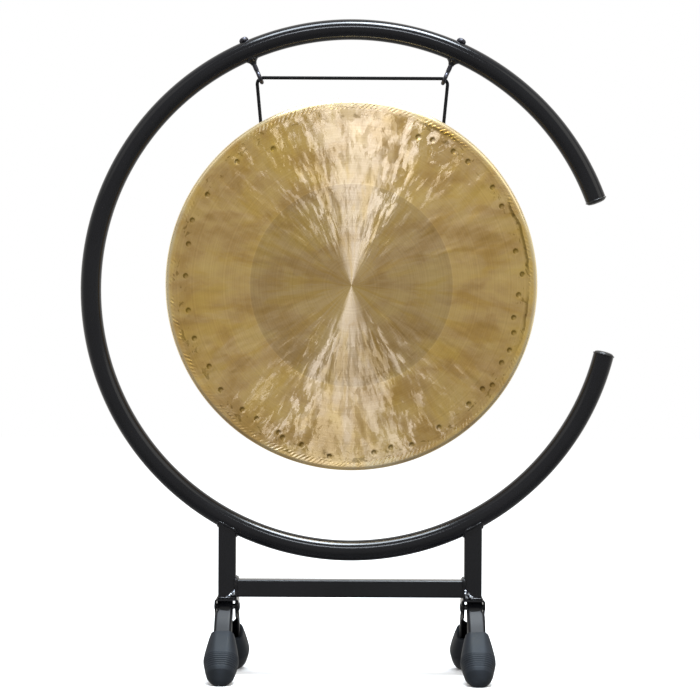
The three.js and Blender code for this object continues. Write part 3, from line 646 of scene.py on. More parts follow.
def makeHood(place, title, side):
    # A flat bar carried along a line that is straight up to the rivet's level and then an arc about it;
    # towards its edges the bar bows back by the sixth power of its width.
    centre = leg["ear"] + hood["gap"] + leg["sheet"] / 2
    turn = np.radians(np.linspace(0, hood["turn"], 8))
    straight = np.linspace((leg["faceTop"] + hood["lap"], faceOut + hood["proud"]), (0.5, centre), 12)
    line = np.vstack([straight, np.stack([-centre * np.sin(turn), centre * np.cos(turn)], 1)])
    slope = unit(np.gradient(line, axis=0))
    normal = np.stack([-slope[:, 1], slope[:, 0]], 1)
    width = legHalf + earHalf - hood["narrower"]
    middle = side * (leg["offset"] + (earHalf - legHalf) / 2)
    corners = np.array([[-1, -1], [1, -1], [1, 1], [-1, 1]]) * [width / 2, hood["half"]]
    section = densify(corners, hood["points"])
    bow = 1 - hood["bow"] * (section[:, 0] / width * 2) ** 6
    grid = placeLeg(middle + section[:, 0] + 0 * line[:, :1], line[:, :1] + section[:, 1] * normal[:, :1],
                    line[:, 1:] * bow + section[:, 1] * normal[:, 1:], side, False)
    makePiece(f"legHood{title}", [shell(grid)], paint, f"front_leg_{place}", [], sharp=50)


# Rubber boots: blunt, ribbed towards the toe, with a flat facet down the front from the mouth

boot = {"start": 35, "length": 68, "halfWidth": 18.7, "reach": 15.6, "hold": 26, "lip": 1.1, "rows": 170,
        "columns": 96, "ribFrom": 0.51, "ribTo": 0.76, "ribs": 7, "ribDepth": 0.5, "facet": 0.97,
        "soften": 0.5, "mouth": 0.085, "pocketGap": 0.3, "pocketFaceGap": 0.2, "pocketSquare": 9}
bootShares = np.array([
    # along, half width, reach on the face side, reach on the sole side, squareness, flat of the facet
    (0.085, 0.69, 0.78, 0.72, 3.4, 1.0),
    (0.14, 0.75, 0.82, 0.76, 3.0, 1.0),
    (0.31, 0.88, 0.91, 0.88, 2.6, 1.0),
    (0.46, 0.97, 0.97, 0.96, 2.4, 1.0),
    (0.55, 1, 1, 1, 2.3, 1.0),
    (0.67, 0.925, 0.93, 1, 2.2, 0.9),
    (0.815, 0.8, 0.805, 0.93, 2.1, 0.6),
    (0.835, 0.77, 0.755, 0.88, 2.1, 0.2),
    (0.89, 0.67, 0.59, 0.67, 2.05, 0),
    (0.96, 0.45, 0.35, 0.38, 2, 0),
    (1, 0.16, 0.12, 0.12, 2, 0),
])


def fair(xs, ys, want):
    # Smooth curve through the points, its slope at each the harmonic mean of its neighbours' slopes, or level
    # where they differ in sign.
    steps = np.diff(xs)
    slopes = np.diff(ys) / steps
    product, total = slopes[1:] * slopes[:-1], slopes[1:] + slopes[:-1]
    inner = np.where(product > 0, 2 * product / np.where(total == 0, 1, total), 0)
    at = np.concatenate([[slopes[0]], inner, [slopes[-1] * 1.5]])
    k = np.clip(np.searchsorted(xs, want) - 1, 0, len(steps) - 1)
    t = (want - xs[k]) / steps[k]
    return (ys[k] * (1 + 2 * t) * (1 - t) ** 2 + ys[k + 1] * t * t * (3 - 2 * t)
            + steps[k] * (at[k] * t * (1 - t) ** 2 + at[k + 1] * t * t * (t - 1)))


def bootPocket(rim, mouth, cosine, sine):
    # Rows (across, out, along) from the rim of the boot's lip in to the leg and down round it, where they
    # follow |x/a|^9 + |y/b|^9 = 1.
    high, low = leg["face"] + leg["swell"] + boot["pocketFaceGap"], leg["lip"] + boot["pocketGap"]
    power = 2 / boot["pocketSquare"]
    pocketAcross = signedPower(cosine, power) * (leg["width"] / 2 + boot["pocketGap"])
    pocketOut = (high - low) / 2 + signedPower(sine, power) * (high + low) / 2
    lipTurn = np.radians(np.linspace(15, 90, 5))
    tuck = 1 - boot["lip"] * (1 - np.cos(lipTurn)) / boot["halfWidth"]
    rows = [(rim[0] * t, rim[1] * t, mouth - boot["lip"] * math.sin(a)) for t, a in zip(tuck, lipTurn)]
    across, out, along = rows[-1]
    for blend, down in ((0.5, 0), (1, 0.15), (1, 8), (1, boot["hold"] - 6)):
        rows.append((across * (1 - blend) + pocketAcross * blend, out * (1 - blend) + pocketOut * blend,
                     along + down))
    return rows


def makeBoot(end, place, title, side, isRear):
    # Superellipse sections along the leg's line, |x/a|^n + |y/b|^n = 1, cut flat across the front,
    # then over the lip and down into the pocket for the leg. The ribs are sin^4 waves in the front half.
    angle = around(boot["columns"])
    cosine, sine = np.cos(angle), np.sin(angle)
    share = 1 - (1 - boot["mouth"]) * np.linspace(0, 1, boot["rows"]) ** 1.25
    width, top, sole, square, flat = (fair(bootShares[:, 0], bootShares[:, k], share)[:, None]
                                      for k in range(1, 6))
    cut = 1 - (1 - boot["facet"]) * flat
    across = signedPower(cosine, 2 / square) * width * boot["halfWidth"]
    out = signedPower(sine, 2 / square) * np.where(sine > 0, top / cut, sole) * boot["reach"]
    soften = boot["soften"]
    limit = top * boot["reach"] - soften
    out = np.where(out > limit, limit + soften * np.tanh((out - limit) / soften), out)
    ribPhase = (share - boot["ribFrom"]) / (boot["ribTo"] - boot["ribFrom"])
    groove = np.sin(np.clip(ribPhase, 0, 1) * np.pi * boot["ribs"]) ** 4
    groove = groove * smooth(ribPhase, 0, 0.05) * (1 - smooth(ribPhase, 0.95, 1))
    shrink = 1 - (groove[:, None] * boot["ribDepth"] / boot["halfWidth"]) * smooth(sine, -0.2, 0.3)
    across, out = across * shrink, out * shrink
    along = boot["start"] + share[:, None] * boot["length"] + 0 * across
    inside = bootPocket((across[-1], out[-1]), boot["start"] + boot["mouth"] * boot["length"], cosine, sine)
    across = np.vstack([across] + [row[0] for row in inside])
    out = np.vstack([out] + [row[1] for row in inside])
    along = np.vstack([along] + [np.full(boot["columns"], row[2]) for row in inside])
    grid = placeLeg(side * leg["offset"] + across, along, out, side, isRear)
    grid[..., 2] = np.maximum(grid[..., 2], 0)
    makePiece(f"rubberFoot{end.title()}{title}", [shell(grid)], rubber, f"{end}_leg_{place}",
              [f"rubber_foot_{end}_{place}"], sharp=60)


for place, title, side in sides:
    makePost(place, title, side)
    makeWelds(title, side)
    makePuddle(title, side)
    makeBracket(place, title, side)
    makeRivet(place, title, side)
    for end, isRear in (("front", False), ("rear", True)):
        makeLeg(end, place, title, side, isRear)
        if not isRear:
            makeHood(place, title, side)
        makeBoot(end, place, title, side, isRear)
print("posts, welds, brackets, legs and boots made")

# Eye bolts, collars and cap nuts

bolt = {"spread": 23.6, "shank": 2.5, "reach": 28.2, "wire": 2.2, "eye": 6, "stub": 2.4, "chamfer": 0.4,
        "neck": 3, "sink": 0.6, "neckDraw": 0.25}
collar = {"radius": 7, "neck": 3.2, "height": 5, "skirt": 0.5, "sunk": 3.2, "draw": 0.2}
nut = {"radius": 5.8, "height": 2.2, "dome": 2.3, "domeRadius": 4.6, "chamfer": 0.7, "cone": 1.7, "gap": 0.1,
       "step": 0.5, "columns": 72}


def boltFrame(side):
    # The middle of the tube at the bolt, and the directions out of the ring and along it.
    degrees = 90 - side * bolt["spread"]
    outward = onHoop(1, degrees) - hoopMiddle
    return onHoop(hoop["radius"], degrees), outward, np.cross(outward, (0, -1, 0))


def makeBolt(place, title, side):
    # A shank that draws in to the wire of a round eye. Gives back the eye's innermost point.
    origin, outward, tangent = boltFrame(side)
    eyeDistance = hoop["tube"] + bolt["reach"] - bolt["wire"] - bolt["eye"]
    stub, tip = hoop["tube"] + bolt["stub"], bolt["eye"] - eyeDistance
    profile = [[stub, bolt["shank"] - bolt["chamfer"]], [stub - bolt["chamfer"], bolt["shank"]],
               [tip + bolt["neck"], bolt["shank"]], [tip + bolt["sink"], bolt["shank"] - bolt["neckDraw"]],
               [tip - bolt["sink"], bolt["wire"] - bolt["chamfer"]]]
    ring = circle(72)
    eyeMiddle = origin - outward * eyeDistance
    line = eyeMiddle + bolt["eye"] * (ring[:, :1] * outward + ring[:, 1:] * np.array([0, -1, 0]))
    eye = shell(carry(circle(20) * bolt["wire"], line, tangent, closed=True), closeRows=True)
    makePiece(f"eyeBolt{title}", [shell(lathe(profile, origin, outward, 28)), eye], nickel, "stand",
              [f"eye_bolt_{place}"])
    return eyeMiddle - outward * bolt["eye"]


def makeCollar(place, title, side):
    # A quarter wave flare from neck to rim, running on into the tube.
    origin, outward, _ = boltFrame(side)
    share = np.linspace(0, 1, 16)
    flare = collar["neck"] + (collar["radius"] - collar["neck"]) * (1 - np.cos(share * np.pi / 2)) ** 1.15
    height = -hoop["tube"] - collar["height"] * (1 - share)
    profile = np.vstack([
        [[height[0], bolt["shank"] - collar["draw"]]],
        np.stack([height, flare], 1),
        [[collar["skirt"] - hoop["tube"], collar["radius"]]],
        [[collar["sunk"] - hoop["tube"], collar["radius"] - collar["draw"]]],
    ])
    makePiece(f"eyeCollar{title}", [shell(lathe(profile, origin, outward, 56))], paint, "stand",
              [f"eye_collar_{place}"])


def makeNut(place, title, side):
    # Six flats cut back by a cone at both ends, then a dome, its height by sine and its radius by cosine.
    origin, outward, tangent = boltFrame(side)
    angle = around(nut["columns"])
    flat = nut["radius"] * math.cos(np.pi / 6) / np.cos((angle + np.pi / 6) % (np.pi / 3) - np.pi / 6)
    rise = np.linspace(0.8, nut["height"], 8)
    coned = nut["radius"] - np.clip(rise - nut["height"] + nut["chamfer"], 0, None) * nut["cone"]
    limits = np.concatenate([[nut["step"], nut["radius"] - nut["step"], nut["radius"]], coned])
    lift = np.linspace(0, np.pi / 2, 12)
    dome = np.maximum(nut["domeRadius"] * np.cos(lift), 0.05)
    radius = np.vstack([np.minimum(flat, limits[:, None]), np.repeat(dome[:, None], nut["columns"], 1)])
    heights = np.concatenate([[0, 0, nut["chamfer"] * 0.6], rise, nut["height"] + nut["dome"] * np.sin(lift)])
    heights += hoop["tube"] + nut["gap"]
    spokes = np.cos(angle)[:, None] * tangent + np.sin(angle)[:, None] * np.array([0, -1, 0])
    grid = origin + heights[:, None, None] * outward + radius[..., None] * spokes
    makePiece(f"capNut{title}", [shell(grid)], nickel, "stand", [f"cap_nut_{place}"],
              sharp=32)


eyeTips = {}
for place, title, side in sides:
    eyeTips[place] = makeBolt(place, title, side)
    makeCollar(place, title, side)
    makeNut(place, title, side)
print("eye bolts made")

# Cord: three runs of one braided cord, each held at both ends

cord = {"radius": 1.7, "bend": 6.8, "gap": 0.3, "drop": 51.6, "holeInset": 4.7, "knot": 4.8, "carriers": 8,
        "pitch": 7.5, "relief": 0.13, "loose": 1.08, "columns": 40, "spanRows": 480, "pull": 2}
crook = cord["bend"] - (bolt["wire"] + cord["radius"] + cord["gap"])
bendX = eyeTips["right"][0] - middleX - crook * math.sqrt(0.5)
bendZ = eyeTips["right"][2] - crook * math.sqrt(0.5)
cordHeight = bendZ + cord["bend"]
holeHeight = cordHeight - cord["drop"]
holeX = bendX + cord["bend"] - cord["holeInset"]


def braidShell(path):
    # Two sets of strands wound opposite ways; where they cross, each lies over and under in turn.
    step = np.linalg.norm(np.diff(path, axis=0), axis=1)
    run = np.concatenate([[0], np.cumsum(step)])[:, None]
    angle = around(cord["columns"])
    twist, wind = cord["carriers"] / 2 * angle, run / cord["pitch"] * 2 * np.pi
    one, other = twist + wind, twist - wind
    over = np.sin(one) * np.sin(other)
    raised = np.maximum(np.abs(np.cos(one)) * (over > 0), np.abs(np.cos(other)) * (over <= 0))
    radius = cord["radius"] * cord["loose"] - cord["relief"] * (1 - raised)
    section = np.stack([radius * np.cos(angle), radius * np.sin(angle)], -1)
    return shell(carry(section, path, (0, 1, 0)))


def makeSpan():
    count = cord["spanRows"]
    across = np.linspace(-bendX, bendX, count) + middleX
    path = np.stack([across, np.zeros(count), np.full(count, cordHeight)], 1)
    piece = makePiece("cordSpan", [braidShell(path)], yarn, "stand", ["cord_span"], sharp=70)


gong = {"radius": 201, "sheet": 1.6, "crown": 3, "edgeRound": 5, "rim": 28, "rimDraw": 5, "flatShare": 0.546,
        "holeBack": 13}
rimAtHole = gong["radius"] - gong["rimDraw"] * gong["holeBack"] / gong["rim"] - gong["sheet"] / 2
holeRise = math.sqrt(rimAtHole ** 2 - holeX ** 2)
knotDrop = (cord["knot"] + cord["gap"] + gong["sheet"] / 2) / math.cos(math.asin(holeX / rimAtHole))
faceArea = math.pi * gong["radius"] ** 2
rimArea = 2 * math.pi * gong["radius"] * gong["rim"]
weightBack = (rimArea * gong["rim"] / 2 - faceArea * gong["crown"] / 2) / (faceArea + rimArea)
weightBack += gong["sheet"] / 2
hangTilt = math.atan2(gong["holeBack"] - weightBack, holeRise)


def dropPath(side):
    # A quarter bend over the eye, then a straight tangent down to the knot behind the gong's edge.
    end = np.array([holeX, holeHeight - knotDrop + cord["pull"]])
    middle = np.array([bendX, bendZ])
    toEnd = end - middle
    lastAngle = math.atan2(toEnd[1], toEnd[0]) + math.acos(cord["bend"] / np.linalg.norm(toEnd))
    turn = np.linspace(math.pi / 2, lastAngle, 40)
    bend = middle + cord["bend"] * np.stack([np.cos(turn), np.sin(turn)], 1)
    share = np.linspace(0, 1, 130)[1:, None]
    flat = np.vstack([bend, bend[-1] + (end - bend[-1]) * share])
    return np.stack([middleX + side * flat[:, 0], np.zeros(len(flat)), flat[:, 1]], 1)


def knotShells(side):
    # A trefoil round the end of the drop, x = sin t + 2 sin 2t, y = -1.1 sin 3t, z = cos t - 2 cos 2t,
    # and the cord's cut tail below it.
    t = np.linspace(0, 2 * np.pi, 260, endpoint=False)
    lobe = np.stack([np.sin(t) + 2 * np.sin(2 * t), -np.sin(3 * t) * 1.1, np.cos(t) - 2 * np.cos(2 * t)], 1)
    middle = np.array([middleX + side * holeX, 0, holeHeight - knotDrop])
    line = middle + lobe * (cord["knot"] - cord["radius"]) / 3
    section = circle(24) * cord["radius"] * 0.97
    knot = shell(carry(section, line, line - middle + (0, 0.01, 0), closed=True), closeRows=True)
    run = np.linspace(0, 1, 30)[:, None]
    tail = middle + np.array([side * -1.5, 1.0, -1]) * run + np.array([side * -2.5, 2.5, -9]) * run ** 1.4
    return [knot, braidShell(tail)]


def makeDrop(place, title, side):
    path = dropPath(side)
    piece = makePiece(f"cordDrop{title}", [braidShell(path)], yarn, "hanging_gong",
                      [f"cord_drop_{place}"], sharp=70)
    knotPiece = makePiece(f"cordKnot{title}", knotShells(side), yarn, "hanging_gong",
                          [f"cord_knot_{place}"], sharp=70)


makeSpan()
for place, title, side in sides:
    makeDrop(place, title, side)
print("cord made")

# Gong: spun sheet, hammered, turned, its edge drawn back

relief = {"ripples": 3000, "rippleHeight": 0.1, "rippleAlong": 9, "rippleAcross": 3.2, "rippleWidth": 4.2,
          "rippleReach": 2.6, "rippleShare": 0.93, "swells": 60, "swellHeight": 0.225, "swellSize": 26,
          "markRadius": 2.5, "markDepth": 0.42, "fadeFrom": 190, "fadeTo": 196, "columns": 840}
# round punch marks: degrees anticlockwise from the right, and share of the gong's radius
marks = ((189, .885), (199, .89), (210, .88), (219, .9), (229, .89), (235, .88), (244, .885), (246, .9),
         (253, .9), (263, .93), (278, .91), (284, .9), (291, .92), (302, .9), (315, .9), (322, .9), (325, .93),
         (333, .91), (338, .92), (344, .91), (349, .89), (357, .9), (4, .92), (12, .9), (28, .91), (35, .92),
         (47, .91), (53, .9), (61, .89), (66, .87), (120, .84), (133, .9), (148, .91), (158, .92), (166, .9),
         (177, .89))
markLightTurn = math.radians(-50)  # the side of each mark toward the light, where its ring of painted shade is left out
hammer = np.random.default_rng(41)


def gongProfile():
    # Rows of (radius, back from the face): face from the middle out, round edge, turned rim, and back inside.
    sheet, crown, edge = gong["sheet"], gong["crown"], gong["radius"] - gong["edgeRound"]
    flat = gong["radius"] * gong["flatShare"]
    faceRadius = np.concatenate([[0.6, 2, 4], np.linspace(6, 166, 42), np.linspace(167.5, edge, 37)])
    back = np.where(faceRadius < flat, -crown * (1 - 0.5 * (faceRadius / flat) ** 2),
                    -crown * 0.5 * (1 - (faceRadius - flat) / (edge - flat)))
    face = np.stack([faceRadius, back], 1)
    outerRound = arc((edge, gong["edgeRound"]), gong["edgeRound"], -90, 0, 9)[1:]
    end = np.array([gong["radius"] - gong["rimDraw"], gong["rim"]])
    rim = outerRound[-1] + (end - outerRound[-1]) * np.linspace(0, 1, 5)[1:, None]
    lip = end + [[-0.2, 0], [0.2 - sheet, 0]]
    innerRim = [[end[0] - sheet, end[1] - 0.3], [(end[0] + gong["radius"]) / 2 - sheet, 16]]
    innerRound = arc((edge, gong["edgeRound"]), gong["edgeRound"] - sheet, -90, 0, 6)[::-1]
    insideRadius = np.concatenate([np.linspace(edge - 3, 30, 8), [8, 0.6]])
    inside = np.stack([insideRadius, np.interp(insideRadius, faceRadius, back) + sheet], 1)
    return np.vstack([face, outerRound, rim, lip, innerRim, innerRound, inside]), len(face)


def rippleRelief(radius, x, z):
    # Long narrow dents set along the spokes, each a bell exp(-(along / length)^2 - (aside / width)^2) whose
    # height goes with its width. Each touches only the points near its own radius, found in a sorted list.
    count = relief["ripples"]
    spots = np.sqrt(hammer.uniform(0.0, 1, count)) * relief["rippleShare"] * gong["radius"]
    turns = hammer.uniform(0, 2 * np.pi, count)
    sizes = hammer.uniform(0.6, 1.5, count)
    signs = hammer.normal(0, 1, count)
    flatX, flatZ = x.ravel(), z.ravel()
    height = np.zeros(radius.size, np.float32)
    order = np.argsort(radius.ravel())
    sortedRadius = radius.ravel()[order]
    for spot, turn, size, sign in zip(spots, turns, sizes, signs):
        length = relief["rippleAlong"] * size
        width = relief["rippleAcross"] * size * (0.45 + 0.55 * spot / gong["radius"])
        reach = relief["rippleReach"] * length
        first, last = np.searchsorted(sortedRadius, (spot - reach, spot + reach))
        near = order[first:last]
        cosine, sine = math.cos(turn), math.sin(turn)
        along = flatX[near] * cosine + flatZ[near] * sine - spot
        aside = flatZ[near] * cosine - flatX[near] * sine
        bell = np.exp(-(along / length) ** 2 - (aside / width) ** 2)
        height[near] += sign * width / relief["rippleWidth"] * bell
    return relief["rippleHeight"] * height.reshape(radius.shape) * smooth(radius, 6, 60)


def hammerRelief(radius, angle):
    # Height of the face in millimetres: the ripples, broad swells exp(-(distance / size)^2), and round punch
    # marks with a raised ring about each. Also how much darker the marks are painted at each point: darker in
    # their middles, and a ring of painted shade round each, left out on its side toward the light.
    x, z = radius * np.cos(angle), radius * np.sin(angle)
    height = rippleRelief(radius, x, z)
    punched = np.zeros_like(radius)
    for _ in range(relief["swells"]):
        spot = math.sqrt(hammer.uniform(0, 1)) * gong["radius"]
        turn = hammer.uniform(0, 2 * np.pi)
        size = relief["swellSize"] * hammer.uniform(0.6, 1.4)
        lift = hammer.normal(0, 1) * relief["swellHeight"] * size / relief["swellSize"]
        toX, toZ = x - spot * math.cos(turn), z - spot * math.sin(turn)
        height += lift * np.exp(-(toX ** 2 + toZ ** 2) / size ** 2)
    for degrees, share in marks:
        turn, spot = math.radians(degrees), share * gong["radius"]
        toX, toZ = x - spot * math.cos(turn), z - spot * math.sin(turn)
        away = np.sqrt(toX ** 2 + toZ ** 2) / relief["markRadius"]
        height += relief["markDepth"] * (-np.exp(-away ** 2) + 0.35 * np.exp(-((away - 1.6) / 0.6) ** 2))
        # painted shade: the dark ring round each mark fades out on its side toward the light, leaving a
        # painted lit crescent
        lit = 0.5 + 0.5 * np.cos(np.arctan2(toZ, toX) - markLightTurn)
        punched += np.exp(-((away - 0.95) / 0.4) ** 2) * (1 - 0.7 * lit) + 0.5 * np.exp(-(away / 0.7) ** 2)
    return height, punched


def makeGong():
    rows, faceCount = gongProfile()
    angle = around(relief["columns"])
    shape = (len(rows), len(angle))
    radius, back = np.broadcast_to(rows[:, :1], shape), np.broadcast_to(rows[:, 1:], shape).copy()
    faceRadius = radius[:faceCount]
    height, punched = hammerRelief(faceRadius, np.broadcast_to(angle, faceRadius.shape))
    back[:faceCount] -= height * (1 - smooth(faceRadius, relief["fadeFrom"], relief["fadeTo"]))
    x, y, z = radius * np.cos(angle), back - gong["holeBack"], radius * np.sin(angle) - holeRise
    cosine, sine = math.cos(hangTilt), math.sin(hangTilt)
    grid = np.stack([middleX + x, y * cosine - z * sine, holeHeight + y * sine + z * cosine], -1)
    piece = makePiece("gong", [shell(grid)], bronze, "hanging_gong", ["gong"], sharp=60)
    markDarkAndShade = np.zeros(len(piece.data.vertices), np.float32)
    markDarkAndShade[:punched.size] = punched.ravel()
    piece.data.attributes.new("punched", "FLOAT", "POINT").data.foreach_set("value", markDarkAndShade)


# Bell bronze, hammered and then turned on a lathe: fine rings that stretch every highlight along the spokes,
# yellow and brown clouds of old skin, a darker middle disc inside a turned line, punch marks painted darker
# with a ring of painted shade, and a chiselled ring of slanted cuts near a rolled rim painted paler, a painted
# reflection.
# A second, paler and rougher metal stands for the fresh scratches that cut through the skin.
# Its radii and grain sizes, wide and long where there are two, are in millimetres.
patina = {"girth": 125, "clouds": 42, "streaks": (9, 30), "ring": 1.9, "tarnish": (22, 64), "flames": (10, 34),
          "flameSlope": 0.12, "chips": (3.2, 12), "chipSlope": 0.03, "steepest": 0.14, "disc": 109.8,
          "rim": 192.5, "waver": (22, 300), "grime": (38, 300), "grimeTurn": 0.5, "blots": (7, 6), "cuts": 250,
          "cutSlant": 1.15, "cutDepth": 0.16, "cutWander": (30, 60), "cutFade": (60, 400), "cutGaps": (7, 5),
          "fresh": 0.36}


class GongFace:
    # Shader nodes in the gong's own millimetres, from the middle of its face: X to the right, Y back, Z up.

    def __init__(self, tree):
        self.tree = tree
        cosine, sine, back = math.cos(hangTilt), math.sin(hangTilt), gong["holeBack"]
        middle = (middleX, holeRise * sine - back * cosine, holeHeight - back * sine - holeRise * cosine)
        inputs = {"Vector": addNode(tree, "ShaderNodeTexCoord").outputs["Object"], "Scale": (mm, mm, mm),
                  "Location": tuple(value * mm for value in middle), "Rotation": (hangTilt, 0, 0)}
        self.own = addNode(tree, "ShaderNodeMapping", inputs, vector_type="TEXTURE").outputs["Vector"]
        flat = self.vector("MULTIPLY", self.own, (1, 0, 1))
        self.radius = self.vector("LENGTH", flat)
        self.spoke = self.vector("NORMALIZE", flat)
        self.x, self.y, self.z = addNode(tree, "ShaderNodeSeparateXYZ", {"Vector": self.own}).outputs
        self.angle = self.number("ARCTAN2", self.z, self.x)

    def number(self, operation, *values):
        node = addNode(self.tree, "ShaderNodeMath", dict(enumerate(values)), operation=operation)
        return node.outputs["Value"]

    def vector(self, operation, *values):
        node = addNode(self.tree, "ShaderNodeVectorMath", dict(enumerate(values)), operation=operation)
        return node.outputs["Value" if operation in ("LENGTH", "DOT_PRODUCT") else "Vector"]

    def scaled(self, value, scale):
        inputs = {0: value, "Scale": scale}
        return addNode(self.tree, "ShaderNodeVectorMath", inputs, operation="SCALE").outputs["Vector"]

    def times(self, first, *others):
        for other in others:
            first = self.number("MULTIPLY", first, other)
        return first

    def ramp(self, value, low, high, bottom, top, curve="SMOOTHSTEP"):
        return ramp(self.tree, value, low, high, bottom, top, curve)

    def rises(self, value, low, high):
        return self.ramp(value, low, high, 0.0, 1.0)

    def falls(self, value, low, high):
        return self.ramp(value, low, high, 1.0, 0.0)

    def noise(self, spot, scale, detail, roughness, distortion):
        inputs = {"Vector": spot, "Scale": scale, "Detail": detail, "Roughness": roughness,
                  "Distortion": distortion}
        return addNode(self.tree, "ShaderNodeTexNoise", inputs).outputs["Fac"]

    def polar(self, grain, detail, offset):
        # noise on a cylinder of the gong's middle circumference; grain is its width and length in millimetres
        width, length = grain
        rise = self.number("MULTIPLY_ADD", self.radius, 1 / length, offset)
        up = addNode(self.tree, "ShaderNodeCombineXYZ", {"Y": rise}).outputs["Vector"]
        spot = self.vector("ADD", self.scaled(self.spoke, patina["girth"] / width), up)
        return self.noise(spot, 1.0, detail, 0.6, 0.5)


def oldSkin(face):
    # Clouds a little wider than high, with faint streaks along the spokes: the mixed noise, and its colour.
    drawn = face.vector("MULTIPLY", face.own, (0.75, 1, 1.2))
    clouds = face.noise(drawn, 1 / patina["clouds"], 5.0, 0.58, 0.4)
    streaks = face.polar(patina["streaks"], 4.0, 7.0)
    blend = face.number("MULTIPLY_ADD", streaks, 0.14, face.times(clouds, 0.86))
    stops = ((0.33, "#bb8c14"), (0.44, "#cfa022"), (0.52, "#e2b634"), (0.66, "#f0c84a"))
    return blend, rampColours(face.tree, blend, stops)


def rimPaintedSheenAndDirt(face):
    # The rolled rim: painted paler than the face, a painted reflection of the bright backdrop on its bend,
    # with a wavy boundary, grime caught along it on one side, and blots inside it. Gives the rim's painted
    # reflection and the dirt.
    rim = patina["rim"]
    waver = face.number("MULTIPLY_ADD", face.polar(patina["waver"], 2.0, 5.0), 8.0, face.radius)
    rolled = face.rises(waver, rim + 3.4, rim + 5.2)
    brink = face.times(face.rises(waver, rim - 0.4, rim + 3.2), face.falls(rolled, 0.0, 1.0))
    grimeSide = (math.cos(patina["grimeTurn"]), 0, math.sin(patina["grimeTurn"]))
    sided = face.ramp(face.vector("DOT_PRODUCT", face.spoke, grimeSide), 0.4, 0.9, 0.1, 1.0)
    grime = face.times(brink, sided, face.ramp(face.polar(patina["grime"], 1.5, 13.0), 0.4, 0.54, 0.25, 1.0))
    blots = face.times(face.rises(face.radius, rim - 18.5, rim - 6.5), face.ramp(rolled, 0.0, 1.0, 1.0, 0.3),
                       face.rises(face.polar(patina["blots"], 3.0, 23.0), 0.56, 0.66))
    dirt = face.times(face.ramp(grime, 0.0, 1.0, 1.0, 0.5), face.ramp(blots, 0.0, 1.0, 1.0, 0.66))
    # painted reflection: the rolled rim is lightened by up to 16 percent
    return face.ramp(rolled, 0.0, 1.0, 1.0, 1.16), dirt


def rimLipPaintedSheen(face):
    # How far the rim's lip is painted pale, a painted reflection on its bend: only in front of the bend, and
    # less towards the foot of the gong.
    rim = patina["rim"]
    return face.times(face.ramp(face.radius, rim + 2.7, rim + 6.7, 0.0, 0.62), face.falls(face.y, 2.5, 6.0),
                      face.ramp(face.z, -170, -60, 0.3, 1.0))


def hammering(face, turning, tangent):
    # Flat facets that lean to one side or the other along the gong's turn, with crisp edges between: large
    # and middling flames, and chips. They are deepest above and below the middle and stop short of the rim.
    rim = patina["rim"]
    upright = face.number("SINE", face.angle)
    deep = face.times(face.ramp(face.radius, 15, 75, 0.15, 1.0),
                      face.ramp(face.times(upright, upright), 0.1, 0.5, 0.35, 1.0))
    inside = face.falls(face.radius, rim - 5.5, rim - 0.5)

    def facets(grain, share, offset, slope, rare):
        # grain's sizes by share, leaning by slope; rare keeps the tilted facets apart
        width, length = grain
        spread = face.polar((width * share, length * share), 3.0, offset)
        leaning = face.number("SUBTRACT", face.ramp(spread, 0.5 + rare, 0.52 + rare, 0.0, slope),
                              face.ramp(spread, 0.48 - rare, 0.5 - rare, slope, 0.0))
        return face.times(leaning, deep, inside)

    large = facets(patina["flames"], 1.0, 1.0, patina["flameSlope"], 0.055)
    middling = facets(patina["flames"], 0.6, 47.0, patina["flameSlope"] * 0.7, 0.06)
    small = facets(patina["chips"], 1.0, 31.0, patina["chipSlope"], 0.03)
    lean = face.number("ADD", face.number("ADD", large, middling), small)
    limits = {"Value": lean, "Min": -patina["steepest"], "Max": patina["steepest"]}
    lean = addNode(face.tree, "ShaderNodeClamp", limits).outputs["Result"]
    aside = face.vector("CROSS_PRODUCT", turning, tangent)
    return face.vector("NORMALIZE", face.vector("ADD", turning, face.scaled(aside, lean)))


def chasedCuts(face):
    # A sine round the gong that slants with the radius and wanders, in a band at the rim, faint in places.
    rim = patina["rim"]
    slanted = face.times(face.radius, patina["cutSlant"])
    phase = face.number("MULTIPLY_ADD", face.angle, float(patina["cuts"]), slanted)
    wandered = face.number("MULTIPLY_ADD", face.polar(patina["cutWander"], 2.0, 3.0), 7.0, phase)
    wave = face.number("SINE", wandered)
    band = face.times(face.rises(face.radius, rim - 3, rim - 1), face.falls(face.radius, rim + 3, rim + 4.5))
    presence = face.times(face.ramp(face.polar(patina["cutFade"], 1.0, 11.0), 0.36, 0.6, 0.1, 1.0),
                          face.ramp(face.polar(patina["cutGaps"], 1.0, 17.0), 0.38, 0.62, 0.1, 1.0))
    return face.times(wave, band, presence)


